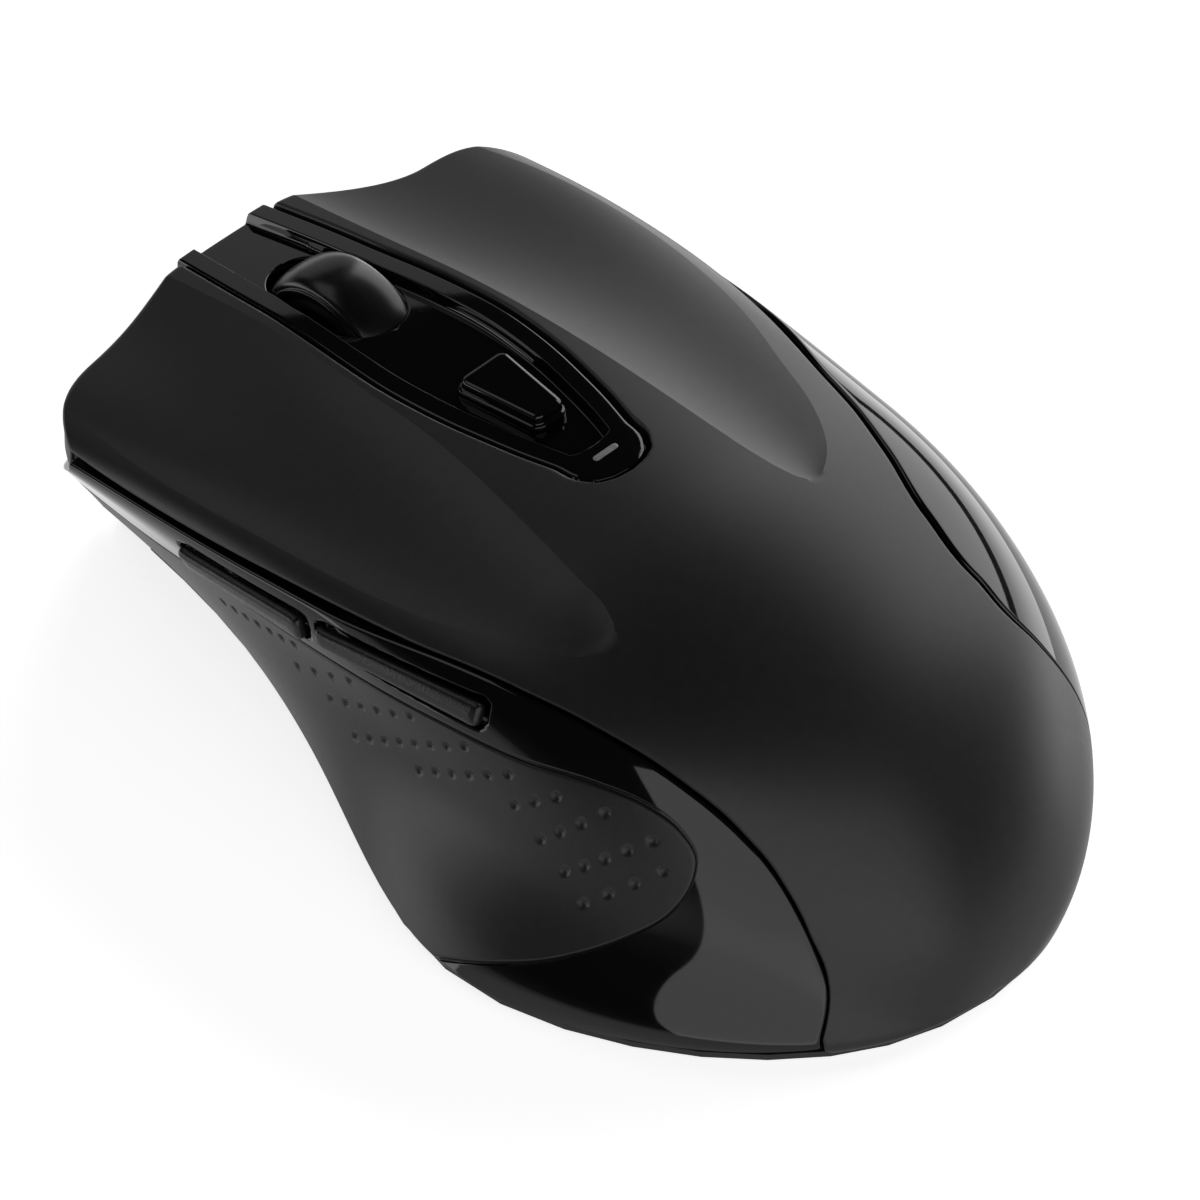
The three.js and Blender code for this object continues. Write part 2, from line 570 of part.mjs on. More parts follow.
function keyOutline({ y, z, height }, grow) {
  const lift = height + grow;
  const corners = [
    [y[1] - grow, z[1] - grow], [y[0] + grow, z[0] - grow], [y[0] + grow, z[0] + lift], [y[1] - grow, z[1] + lift],
  ];
  return roundedOutline(corners, 0.9, 4);
}
function gripOutline(grow) {
  const curve = new THREE.SplineCurve(GRIP_EDGE.map(([y, z]) => new THREE.Vector2(y, z)));
  const count = 40;
  const edge = spread(0, 1, count).map((t) => {
    const p = curve.getPoint(t);
    const run = curve.getTangent(t);
    return [p.x + run.y * grow, p.y - run.x * grow];
  });
  return [[60, 8.5 + grow], ...edge, [-14, -2], [60, -2]];
}
const LEFT_OF_BODY = [-60, -12];
const keyHoles = Object.values(SIDE_KEYS).map((key) => sidePrism(keyOutline(key, GAP), ...LEFT_OF_BODY));

const leftWall = sideWall(-1, 0, PANEL_WALL);
part("left_side_panel", cut(leftWall, [sidePrism(gripOutline(GAP / 2), ...LEFT_OF_BODY), ...keyHoles]), MATERIALS.gloss);
part(
  "thumb_grip",
  cut(leftWall.intersect(sidePrism(gripOutline(-GAP / 2), ...LEFT_OF_BODY)), keyHoles),
  MATERIALS.rubber,
);
part("right_side_panel", sideWall(1, 0, PANEL_WALL), MATERIALS.gloss);

const proudWall = sideWall(-1, -KEY_PROUD, 3.4);
for (const [name, key] of Object.entries(SIDE_KEYS)) {
  part(name, proudWall.intersect(sidePrism(keyOutline(key, 0), ...LEFT_OF_BODY)), MATERIALS.plastic);
}

// ---------------------------------------------------------------- base, door and feet
function footprint(inset) {
  const rear = spread(-1, 0, 10).map((t) => rowY(t, CROWN, inset));
  const front = spread(CLOSE_Y, 44, 10).slice(1);
  const left = [...rear.slice(1), ...front].map((y) => [skin(y, 0, inset).x, y]);
  const right = [...rear.slice(1), ...front].map((y) => [skin(y, 1, inset).x, y]);
  const nose = spread(-0.8, 0.8, 6).map((share) => [share * 18, noseY(share * 18) - 2.5 - inset]);
  return [[0, REAR_Y + inset], ...right, ...nose.reverse(), ...left.reverse()];
}

// The nose wall fills the space between the side panels, below the buttons' front edges.
const NOSE_WALL = { back: 3, thick: 1.6, top: 19.4, clearTop: 3.1, clearSide: 0.8 };
function noseWall() {
  const y = noseY(0) - 6;
  const reach = (side, z) => {
    const v = bisect((g) => skin(y, g).z > z, side < 0 ? 0.3 : 0.7, side < 0 ? 0 : 1);
    return Math.abs(skin(y, v, PANEL_WALL).x) - NOSE_WALL.clearSide;
  };
  const levels = [BASE.floor - 0.5, 6, 10, 14, NOSE_WALL.top];
  const column = (share, z, back) => {
    const x = share * reach(Math.sign(share), Math.min(z, 16));
    const lid = crownZ(x, y) - dishDepth(x, y) - NOSE_WALL.clearTop;
    return new THREE.Vector3(x, noseY(x) - back, Math.min(z, lid));
  };
  const face = (back) => levels.map((z) => spread(-1, 1, 14).map((share) => column(share, z, back)));
  return gridSolid(face(NOSE_WALL.back), face(NOSE_WALL.back + NOSE_WALL.thick));
}
function baseShell() {
  const plate = join([
    prism(footprint(BASE.rimInset), BASE.bottom, BASE.ledge),
    prism(footprint(BASE.floorInset), BASE.bottom + 0.2, BASE.floor),
    noseWall(),
  ]);
  const bayWalls = [-1, 1].map((side) => {
    const at = side * (BAY_HALF_WIDTH + 0.8);
    return block([at - 0.8, at + 0.8], [BATTERY.rearY - 3.4, BATTERY.frontY + 1.9], [BASE.floor - 0.5, 9]);
  });
  const endWalls = [BATTERY.rearY - 3.4, BATTERY.frontY + 1.9].map((y) =>
    block([-BAY_HALF_WIDTH - 1.6, BAY_HALF_WIDTH + 1.6], [y - 0.4, y + 0.4], [BASE.floor - 0.5, 8]),
  );
  const receiverSleeve = block(
    [RECEIVER.x - 4.2, RECEIVER.x + 4.2],
    [RECEIVER.y - 8.5, RECEIVER.y + 8.5],
    [BASE.floor - 0.5, 15],
  );
  const openings = [
    block([-BAY_HALF_WIDTH, BAY_HALF_WIDTH], [BATTERY.rearY - 1.5, BATTERY.frontY + 1.5], [0, 3]),
    block([-DOOR.halfWidth - GAP, DOOR.halfWidth + GAP], [DOOR.rearY - DOOR.travel - GAP, DOOR.frontY + GAP], [0, 1.55]),
    block(
      [RECEIVER.x - RECEIVER.width / 2 - GAP, RECEIVER.x + RECEIVER.width / 2 + GAP],
      [RECEIVER.y - RECEIVER.length / 2 - GAP, RECEIVER.y + RECEIVER.length / 2 + GAP],
      [0, 21],
    ),
    post(0, SENSOR_Y, 4.4, 0, 3),
    block(
      [POWER.x - POWER.halfWidth - GAP, POWER.x + POWER.halfWidth + GAP],
      [POWER.y - POWER.halfLength - POWER.travel - GAP, POWER.y + POWER.halfLength + GAP],
      [0, 3],
    ),
  ];
  const screwHoles = Object.values(SCREWS).flatMap(({ x, y }) => [
    post(x, y, SCREW.headRadius + GAP, 0, SCREW.headTop + 0.15),
    post(x, y, SCREW.shaftRadius + 0.2, 0, 3),
  ]);
  return cut(join([plate, ...bayWalls, ...endWalls, receiverSleeve]), [...openings, ...screwHoles]);
}
part("base_shell", baseShell(), MATERIALS.plastic);

function batteryDoor() {
  const plate = prism(roundedOutline(rectangle(DOOR.halfWidth, DOOR.rearY, DOOR.frontY), 2), BASE.bottom, DOOR.top);
  const grooves = spread(-42, -36, 4).map((y) => block([-6, 6], [y - 0.35, y + 0.35], [0, BASE.bottom + 0.25]));
  return cut(plate, grooves);
}
part("battery_door", batteryDoor(), MATERIALS.plastic);

for (const [name, foot] of Object.entries(FEET)) {
  const outline = roundedOutline(
    [[-foot.halfX, -foot.halfY], [foot.halfX, -foot.halfY], [foot.halfX, foot.halfY], [-foot.halfX, foot.halfY]],
    foot.halfY - 0.2,
  ).map(([x, y]) => {
    const p = new THREE.Vector2(x, y).rotateAround(new THREE.Vector2(), THREE.MathUtils.degToRad(foot.turn));
    return [p.x + foot.x, p.y + foot.y];
  });
  part(name, prism(outline, 0, BASE.bottom), MATERIALS.glide);
}

for (const [name, { x, y, reach }] of Object.entries(SCREWS)) {
  const head = post(x, y, SCREW.headRadius, SCREW.headBottom, SCREW.headTop);
  const shaft = post(x, y, SCREW.shaftRadius, SCREW.headTop - 0.2, reach);
  const cross = [block([x - 1.3, x + 1.3], [y - 0.3, y + 0.3], [0, 1.6]), block([x - 0.3, x + 0.3], [y - 1.3, y + 1.3], [0, 1.6])];
  part(name, cut(head.add(shaft), cross), MATERIALS.metal);
}

// ---------------------------------------------------------------- battery and its contacts
const cell = longRod(0, BATTERY.z, BATTERY.radius, BATTERY.rearY, BATTERY.frontY - BATTERY.nubLength);
const nub = longRod(0, BATTERY.z, BATTERY.nubRadius, BATTERY.frontY - BATTERY.nubLength - 0.5, BATTERY.frontY);
part("battery", cell.add(nub), MATERIALS.cell);
part(
  "battery_contact",
  block([-3.6, 3.6], [BATTERY.frontY + GAP, BATTERY.frontY + 0.8], [BATTERY.z - 3.5, BATTERY.z + 3.5]),
  MATERIALS.metal,
);

class Coil extends THREE.Curve {
  getPoint(share, target = new THREE.Vector3()) {
    const turns = 3;
    const radius = 3.2 - share;
    const angle = share * turns * 2 * Math.PI;
    const y = BATTERY.rearY - 2.9 + share * 2.2;
    return target.set(radius * Math.cos(angle), y, BATTERY.z + radius * Math.sin(angle));
  }
}
const wire = new THREE.Shape().absarc(0, 0, 0.3, 0, 2 * Math.PI);
const coil = new THREE.ExtrudeGeometry(wire, {
  extrudePath: new Coil(), steps: 60, curveSegments: 3, bevelEnabled: false,
});
part("battery_spring", solidOf(coil), MATERIALS.metal);

// ---------------------------------------------------------------- boards, switches and sensor
const BOARD_TOP = BOARD.z + BOARD.thick;
const boardHoles = [
  block([-4, 4], [SENSOR_Y - 4, SENSOR_Y + 4], [0, 9]),
  ...[-1, 1].map((side) => post(side * SCREWS.case_screw_front_right.x, SCREWS.case_screw_front_right.y, 3.1, 0, 9)),
];
const boardPlate = block([-BOARD.halfWidth, BOARD.halfWidth], [BOARD.rearY, BOARD.frontY], [BOARD.z, BOARD_TOP]);
part("main_board", cut(boardPlate, boardHoles), MATERIALS.board);

function microSwitch(x, y, size, low) {
  const body = block([x - size.x / 2, x + size.x / 2], [y - size.y / 2, y + size.y / 2], [low, low + size.z]);
  return body.add(block([x - 1.2, x + 1.2], [y - 1, y + 1], [low, low + size.z + 0.7]));
}
const SEAT = BOARD_TOP + 0.05;
part("left_switch", microSwitch(-SWITCH_AT.x, SWITCH_AT.y, SWITCH_SIZE, SEAT), MATERIALS.plastic);
part("right_switch", microSwitch(SWITCH_AT.x, SWITCH_AT.y, SWITCH_SIZE, SEAT), MATERIALS.plastic);
part("wheel_switch", microSwitch(0, WHEEL.y, { x: 6, y: 6, z: 2.3 }, SEAT), MATERIALS.plastic);
part("sensor_chip", block([-3.6, 3.6], [SENSOR_Y - 3.6, SENSOR_Y + 3.6], [4.9, 7.6]), MATERIALS.plastic);
part(
  "sensor_lens",
  post(0, SENSOR_Y, 3.9, 1, 4.4).subtract(post(0, SENSOR_Y, 2, 0, 2.4)),
  MATERIALS.lens,
);
part("power_switch_body", block([-11.3, -6.3], [16, 25.5], [3, 4.4]), MATERIALS.metal);
function powerSlider() {
  const plate = block(
    [POWER.x - POWER.halfWidth, POWER.x + POWER.halfWidth],
    [POWER.y - POWER.halfLength, POWER.y + POWER.halfLength],
    [BASE.bottom + 0.2, 2.7],
  );
  const ridges = spread(-2, 2, 3).map((dy) => block([POWER.x - 3, POWER.x + 3], [POWER.y + dy - 0.3, POWER.y + dy + 0.3], [0, 1.1]));
  return cut(plate, ridges);
}
part("power_switch", powerSlider(), MATERIALS.plastic);

// The side board stands behind the two side buttons, one small switch facing each.
const SIDE_BOARD = { x: [-20.6, -19.6], y: [-8, 24], z: [16.6, 25] };
part("side_board", block(SIDE_BOARD.x, SIDE_BOARD.y, SIDE_BOARD.z), MATERIALS.board);
for (const [name, y, z] of [["forward_switch", 18, 20.3], ["back_switch", 0, 23]]) {
  const body = block([-23.4, -20.65], [y - 2.6, y + 2.6], [z - 1.8, z + 1.8]);
  part(name, body.add(crossRod(y, z, 1, -24, -23)), MATERIALS.plastic);
}
part("dpi_switch_board", block([-5, 5], [6, 20], [25.2, 26.1]), MATERIALS.board);
part("dpi_switch", microSwitch(0, 12.6, { x: 4.4, y: 4.4, z: 1 }, 26.15), MATERIALS.plastic);
part("status_led", block([-1, 1], [LED.y - 0.7, LED.y + 0.7], [28.6, 30.2]), MATERIALS.window);

// ---------------------------------------------------------------- inner frame
function innerFrame() {
  const plate = block([-FRAME.halfWidth, FRAME.halfWidth], [FRAME.rearY, FRAME.frontY], [FRAME.bottom, FRAME.top]);
  const { x, y, reach } = SCREWS.case_screw_front_right;
  const pillars = [-1, 1].map((side) => post(side * x, y, SCREW.bossRadius, 2.9, FRAME.bottom + 0.5));
  const shelf = [-1, 1].map((side) => block([side * 3.6 - 0.8, side * 3.6 + 0.8], [11.6, 13.6], [FRAME.top - 0.5, 24.9]));
  const sidePost = block([-19.2, -17.2], [12, 16], [FRAME.top - 0.5, 24]);
  const holes = [
    block([-9.6, 9.6], [24.4, 50], [10, 20]),
    ...[-1, 1].map((side) => post(side * SWITCH_AT.x, SWITCH_AT.y, 3, 10, 20)),
    ...[-1, 1].map((side) => post(side * x, y, SCREW.shaftRadius + 0.15, 0, reach + 0.6)),
  ];
  return cut(join([plate, ...pillars, ...shelf, sidePost]), holes);
}
part("inner_frame", innerFrame(), MATERIALS.plastic);

// ---------------------------------------------------------------- scroll wheel
function wheelTyre() {
  const crown = spread(-1, 1, 8).map((share) => [
    WHEEL.radius - (WHEEL.radius - WHEEL.edgeRadius) * share ** 2,
    share * WHEEL.halfWidth,
  ]);
  const profile = [[WHEEL.tyreInner, -WHEEL.halfWidth], ...crown, [WHEEL.tyreInner, WHEEL.halfWidth]];
  return crossLathe([...profile, profile[0]], WHEEL.y, WHEEL.z);
}
function wheelHub() {
  const rim = WHEEL.tyreInner - 0.15;
  const profile = [[WHEEL.hubBore, -3.2], [rim, -3.2], [rim, 3.2], [WHEEL.hubBore, 3.2], [WHEEL.hubBore, -3.2]];
  const recess = [-1, 1].map((side) => {
    const ring = [[3, side * 1.6], [6, side * 1.6], [6, side * 4], [3, side * 4], [3, side * 1.6]];
    return crossLathe(side > 0 ? ring : ring.reverse(), WHEEL.y, WHEEL.z, 24);
  });
  return cut(crossLathe(profile, WHEEL.y, WHEEL.z, 24), recess);
}
part("wheel_tyre", wheelTyre(), MATERIALS.rubber);
part("wheel_hub", wheelHub(), MATERIALS.plastic);
part("wheel_axle", crossRod(WHEEL.y, WHEEL.z, AXLE_RADIUS, -8.4, 8.4, 6), MATERIALS.metal);

function wheelCarrier() {
  const arm = (side) =>
    block([side * 6.6 - 1, side * 6.6 + 1], [WHEEL.y - 3.4, WHEEL.y + 3.4], [9.8, WHEEL.z + 2.8]);
  const bridge = block([-7.6, 7.6], [WHEEL.y - 3.4, WHEEL.y + 3.4], [9.4, 11]);
  const bore = crossRod(WHEEL.y, WHEEL.z, AXLE_RADIUS + 0.25, -12, 12);
  return cut(join([arm(-1), arm(1), bridge]), [bore]);
}
part("wheel_carrier", wheelCarrier(), MATERIALS.plastic);
const encoder = block([7.9, 9.2], [WHEEL.y - 3.2, WHEEL.y + 3.2], [WHEEL.z - 5, WHEEL.z + 3]);
part("wheel_encoder", encoder.subtract(crossRod(WHEEL.y, WHEEL.z, AXLE_RADIUS + 0.25, 5, 12)), MATERIALS.metal);

// ---------------------------------------------------------------- receiver
const along = [RECEIVER.y - RECEIVER.length / 2, RECEIVER.y + RECEIVER.length / 2];
const across = [RECEIVER.x - RECEIVER.width / 2, RECEIVER.x + RECEIVER.width / 2];
part("receiver_shell", block(across, along, [BASE.bottom + 0.1, RECEIVER.shellHeight]), MATERIALS.plastic);
part(
  "receiver_plug",
  block(
    [RECEIVER.x - RECEIVER.plugWidth / 2, RECEIVER.x + RECEIVER.plugWidth / 2],
    [RECEIVER.y - RECEIVER.plugLength / 2, RECEIVER.y + RECEIVER.plugLength / 2],
    [RECEIVER.shellHeight, RECEIVER.plugTop],
  ),
  MATERIALS.metal,
);

mouse.position.copy(BOX_CENTRE).negate();
mouse.updateMatrixWorld(true);

export default mouse;
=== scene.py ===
"""A right-handed wireless computer mouse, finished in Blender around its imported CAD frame.

Shapes are worked out in millimetres in the CAD source's own coordinates (+Y to the nose, +X to the right,
table at z = 0) and put into the frame, which is in metres, by to_frame().
"""

import json
import math

import bmesh
import bpy
import numpy as np
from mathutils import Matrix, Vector


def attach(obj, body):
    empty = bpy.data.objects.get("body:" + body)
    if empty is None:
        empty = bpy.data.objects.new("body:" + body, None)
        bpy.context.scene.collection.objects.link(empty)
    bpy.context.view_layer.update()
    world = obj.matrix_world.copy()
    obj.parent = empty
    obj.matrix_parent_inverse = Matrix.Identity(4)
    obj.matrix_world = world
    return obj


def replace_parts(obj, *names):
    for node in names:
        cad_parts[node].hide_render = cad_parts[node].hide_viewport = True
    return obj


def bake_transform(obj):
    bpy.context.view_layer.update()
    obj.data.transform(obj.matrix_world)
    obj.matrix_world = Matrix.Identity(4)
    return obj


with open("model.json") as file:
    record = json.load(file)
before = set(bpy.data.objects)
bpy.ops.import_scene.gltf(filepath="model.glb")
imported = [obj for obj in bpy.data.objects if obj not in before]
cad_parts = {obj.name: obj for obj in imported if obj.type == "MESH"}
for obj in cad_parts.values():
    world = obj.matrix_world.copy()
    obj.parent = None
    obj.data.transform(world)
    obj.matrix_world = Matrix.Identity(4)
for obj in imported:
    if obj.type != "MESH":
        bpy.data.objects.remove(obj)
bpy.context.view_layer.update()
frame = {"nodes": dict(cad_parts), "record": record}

# ---------------- driving dimensions, millimetres
MM = 0.001
BOX_CENTRE = np.array([-0.47, 0.3, 0.0])  # middle of the CAD box, which the frame puts on the origin
REAR_Y = -53.0
NOSE_Y = 53.0
CLOSE_Y = -8.0  # behind this the body rounds off to the rear
SHELL_Z = 1.5  # lower edge of the side walls
PLAN_ROUND = 2.32
SIDE_ROUND = 1.9

# Eleven lengthwise rails, left foot over the crown to right foot, each with six stations from rear to nose.
RAIL_X = np.array([
    [-30, -35, -37, -26, -19, -18],
    [-31, -36, -34, -26, -22, -21],
    [-26, -30, -27.5, -26, -26.5, -27],
    [-21, -26, -28, -29.5, -30.5, -30],
    [-13.5, -19.5, -22.5, -25, -26.5, -26],
    [0, 0, 0, 0, 0, 0],
    [14.5, 20.5, 23.5, 26, 27, 26],
    [25, 30.5, 30, 30.5, 31, 30],
    [30, 34, 28.5, 25.5, 26, 27],
    [28.5, 34, 32, 27.5, 23.5, 22],
    [25, 34, 35.5, 29.5, 22.5, 18.5],
])
RAIL_Z = np.array([
    [1.5, 1.5, 1.5, 1.5, 1.5, 1.5],
    [4.5, 4.5, 5.5, 6.5, 7, 7],
    [9.5, 11.5, 14, 16, 16.5, 16.5],
    [19, 22, 24, 24.5, 23, 18.5],
    [31, 32.5, 31.5, 30.5, 28, 22.5],
    [35.5, 37.5, 36.5, 34.5, 31.5, 25.5],
    [31, 32.5, 32, 31.5, 28.5, 22],
    [21, 25, 26.5, 26, 24, 18.5],
    [13, 15, 16, 16.5, 16.5, 15.5],
    [7, 7.5, 7.5, 7.5, 7.5, 7.5],
    [1.5, 1.5, 1.5, 1.5, 1.5, 1.5],
])
RAILS = len(RAIL_X)

# Curves over the length, each as (y, value).
LEFT_SEAM = [(-48, 1.5), (-46.6, 7), (-43.6, 13.2), (-39.8, 18.4), (-35.7, 22), (-28.6, 25.8), (-20, 28),
             (-12, 28.4), (0, 27.2), (14, 25.6), (28, 23.6), (42, 21.8), (54, 20.8)]
RIGHT_SEAM = [(-42.5, 1.5), (-40.5, 9), (-38, 16.5), (-35, 22), (-30, 26.6), (-23, 29.8), (-15, 31),
              (-5, 30.6), (7, 29), (20, 26.6), (32, 24.2), (43, 22), (54, 20.8)]
CONSOLE_HALF = [(-2.8, 0), (-2.65, 1.1), (-2.2, 2.4), (-1, 3.6), (2.5, 4.5), (6, 5.4), (10, 6.2), (14, 6.9),
                (18, 7.35), (23, 7.6), (28, 7.4), (33, 7), (38.5, 6.5), (44, 6.2), (54, 5.5)]
# Edges of the shallow dish in each main button, as (y, |x|), left and right.
DISH_INNER = {
    -1: [(-16.5, 15.5), (-16.2, 14.5), (-15.1, 13.7), (-13.4, 13.1), (-9.6, 12.7), (-6.5, 12.2), (0, 11.2),
         (13, 9.5), (25, 8.9), (40, 8.1), (54, 8)],
    1: [(-15.2, 12.4), (-14.9, 11.6), (-14.3, 11.1), (-12.5, 10.4), (-9.1, 9.8), (-5, 9.6), (0.3, 9.5),
        (13, 9.3), (25, 8.9), (40, 8.1), (54, 8)],
}
DISH_OUTER = {
    -1: [(-16.5, 15.6), (-16.3, 16.6), (-15.7, 17.7), (-13.7, 19.1), (-11, 20.3), (-7.9, 21.4), (-2.1, 23.4),
         (4.9, 24.9), (11.9, 25.9), (19.5, 26.6), (28, 27.2), (38, 27), (45, 26), (54, 24.5)],
    1: [(-15.2, 12.5), (-14.9, 13.4), (-14.3, 14.3), (-12.8, 16), (-11.1, 17.3), (-8.1, 19), (-0.1, 21.9),
        (8, 24.6), (16, 26.2), (28, 27.2), (38, 27), (45, 26), (54, 24.5)],
}
DISH_SLOPE = 0.24  # between the dish's edges, so its depth follows its width
DISH_SKEW = 0.35  # how much steeper it is at the inner edge than at the outer one
NOSE_STEP = {-1: 2.2, 1: 5.2}  # how far the buttons step back from the console, left and right
NOSE_CORNER = {-1: 6.8, 1: 5.8}
NOSE_POWER = {-1: 8, 1: 14}
NOSE_CORNER_X = 28.5
NOSE_STEP_SPAN = (6, 20)  # |x| over which the step back is made

CONSOLE_TIP_Y = CONSOLE_HALF[0][0]
CONSOLE_DROP = 0.25
CONSOLE_THICK = 3.0
CONSOLE_GAP = 0.42
CHANNEL_DEPTH = 1.2
CHANNEL_RAIL = 2.05
CHANNEL_REAR_Y = 2.0
CHANNEL_END = {"length": 1.6, "half_width": 2.9}  # its rounded rear end
SLOT = {"y": 37.4, "half_length": 8.1, "half_width": 4.4, "power": 2.25}
DPI = {"rear": 7.8, "front": 17.6, "rear_half": 1.75, "front_half": 2.95}
LED = {"y": 0.4, "half_length": 1.5, "half_width": 0.38}
WHEEL = {"y": 35.6, "z": 21.7, "radius": 9.2, "half_width": 3.4, "bore": 7.0}

COVER_WALL = 1.7
COVER_LIP = 3.0  # how far the front edges of the buttons reach down
COVER_ROUND = {"seam": 0.4, "console": 0.3, "nose": 0.9}  # radii of its edges
PANEL_WALL = 1.6
PANEL_ROUND = {"seam": 0.35, "grip": 0.2, "end": 0.3}
GRIP_ROUND = 0.3
GRIP_GAP = 0.14  # half of the line between the grip and the panel
SEAM_GAP = {"rear": 0.2, "more_at_nose": 0.7, "span": (-4, 10)}
GRIP_EDGE = [(47.5, 8.5), (40, 11), (30, 14.6), (20, 17), (10, 19), (0, 20.9), (-8, 22.4), (-16, 23.4),
             (-23, 24), (-28, 23.4), (-31.6, 21.8), (-33.9, 19.4), (-34.3, 16.8), (-33.4, 13.8),
             (-30.5, 10.6), (-26, 7.4), (-20, 4.4), (-14, 1.5)]
FASCIA = {
    "section_y": 48.0, "side_gap": 0.25, "below_crown": 4.7, "top": 17.6, "set_back": 1.1, "wall": 1.3,
}
SIDE_FRONT_Y = 47.5  # front end of the side panels before they are fitted to the nose
FIT_FROM_Y = 34.0
SIDE_KEYS = {
    "forward_button": {"y": (28, 11.4), "z": (18, 20.4), "height": 2.7},
    "back_button": {"y": (9.4, -10.8), "z": (21.6, 24.3), "height": 2.1},
}
KEY_PROUD = 0.9
KEY_SKIRT = 0.15  # how far a key's underside lies below the panel's skin
KEY_RECESS = {"chamfer": 0.1, "chamfer_span": (0.35, 0.65), "moat": 1.1, "moat_span": (0.36, 0.46)}
# Rows of dimples on the thumb grip: (y, z) of the first and the last dimple, and how many.
DIMPLE_ROWS = [
    ((26.4, 11.6), (14.3, 16.5), 7),
    ((14.6, 12.8), (6.0, 18.3), 4),
    ((9.4, 12.7), (-2.6, 20.2), 6),
    ((5.3, 11.2), (-9.7, 21.4), 8),
    ((-4.2, 14.4), (-15.1, 21.4), 6),
    ((-16.5, 18.7), (-20.4, 21.6), 3),
    ((-20.0, 16.7), (-25.2, 21.8), 4),
    ((-23.2, 14.8), (-29.9, 20.4), 5),
    ((-25.9, 12.6), (-31.7, 17.9), 4),
]
DIMPLE_RADIUS = 0.5
DIMPLE_DEPTH = 0.26

# Floor, light and camera. Azimuth 0 is towards the rear, and it grows anticlockwise from above; degrees.
FLOOR_GLOW = 0.75  # a light table, so the mouse stands on white
FLOOR_REACH = 3.0  # metres
# Grey of the studio by height, from straight down (0) over the horizon (0.5) to straight up (1).
WORLD_RAMP = [(0.0, 0.6), (0.42, 0.55), (0.47, 0.3), (0.5, 0.06), (0.6, 0.012), (1.0, 0.012)]
# Where the studio is brightest; the boost grows from this cosine of the angle to it.
LIT_SIDE = {"azimuth": 100, "elevation": -15, "cosine": 0.3, "boost": 1.8}
SOFTBOXES = [  # name, azimuth, elevation, width, height, radiance
    ("front_card", -23, 19, 80, 57, 0.95),
    ("right_card", 102, 26, 58, 40, 2.0),
    ("right_low_card", 98, -8, 66, 20, 1.5),
    ("back_card", 152, 14, 44, 24, 0.3),
    ("left_card", -141, -8, 46, 30, 1.3),
    ("rear_left_card", -158, 48, 40, 28, 0.55),
]
SOFTBOX_DISTANCE = 1.5
CAMERA = {"azimuth": -43.1, "elevation": 46.0, "distance": 3.0, "sensor_mm": 36}
CAMERA_AIM = {"point": (0, 0, 17), "left": 0.000787, "down": 0.001931}  # the point in mm, the shifts in m
FRAME_WIDTH = 0.11246  # metres across the picture at the aim point


# ---------------- curves and the outer skin
def smooth(points, at):
    """Value at 'at' of a smooth curve through (position, value) pairs."""
    xs, ys = np.array(points, float).T
    slopes = np.gradient(ys, xs)
    at = np.clip(at, xs[0], xs[-1])
    i = np.clip(np.searchsorted(xs, at) - 1, 0, len(xs) - 2)
    width = xs[i + 1] - xs[i]
    s = (at - xs[i]) / width
    start = (2 * s**3 - 3 * s**2 + 1) * ys[i] + (s**3 - 2 * s**2 + s) * width * slopes[i]
    end = (3 * s**2 - 2 * s**3) * ys[i + 1] + (s**3 - s**2) * width * slopes[i + 1]
    return start + end


def smoothstep(value, low, high):
    s = np.clip((value - low) / (high - low), 0, 1)
    return s * s * (3 - 2 * s)


def spline_weights(f):
    return np.stack([(1 - f) ** 3, 3 * f**3 - 6 * f**2 + 4, -3 * f**3 + 3 * f**2 + 3 * f + 1, f**3], -1) / 6


def padded_ends(values):
    """The last axis with one more value at each end, in line with the last two."""
    first = 2 * values[..., :1] - values[..., 1:2]
    last = 2 * values[..., -1:] - values[..., -2:-1]
    return np.concatenate([first, values, last], -1)


def along_rails(rails, station):
    """Every rail's value at the stations: shape (..., rails)."""
    i = np.clip(np.floor(station).astype(int), 0, rails.shape[1] - 2)
    weights = spline_weights(station - i)
    padded = padded_ends(rails)
    return sum(weights[..., k, None] * padded.T[i + k] for k in range(4))


def skin(y, v):
    """Points of the body's outer skin at length y and girth share v."""
    y, v = np.broadcast_arrays(np.asarray(y, float), np.asarray(v, float))
    station = (y - REAR_Y) / (NOSE_Y - REAR_Y) * (RAIL_X.shape[1] - 1)
    share = np.clip((CLOSE_Y - y) / (CLOSE_Y - REAR_Y), 0, 1)
    in_plan = (1 - share**PLAN_ROUND) ** (1 / PLAN_ROUND)
    in_side = (1 - share**SIDE_ROUND) ** (1 / SIDE_ROUND)
    xs = padded_ends(along_rails(RAIL_X, station) * in_plan[..., None])
    zs = padded_ends(SHELL_Z + (along_rails(RAIL_Z, station) - SHELL_Z) * in_side[..., None])
    girth = v * (RAILS - 1)
    i = np.clip(np.floor(girth).astype(int), 0, RAILS - 2)
    weights = spline_weights(girth - i)
    picked = i[..., None] + np.arange(4)
    x = (np.take_along_axis(xs, picked, -1) * weights).sum(-1)
    z = (np.take_along_axis(zs, picked, -1) * weights).sum(-1)
    return np.stack([x, y, z], -1)


def unit(vectors):
    length = np.linalg.norm(vectors, axis=-1, keepdims=True)
    return vectors / np.maximum(length, 1e-12)


def skin_normal(y, v):
    """Outward normals of the skin."""
    step = 0.02
    y = np.maximum(y, REAR_Y + 2 * step)
    along = skin(y + step, v) - skin(y - step, v)
    across = skin(y, np.minimum(v + 0.002, 1)) - skin(y, np.maximum(v - 0.002, 0))
    return unit(np.cross(across, along))


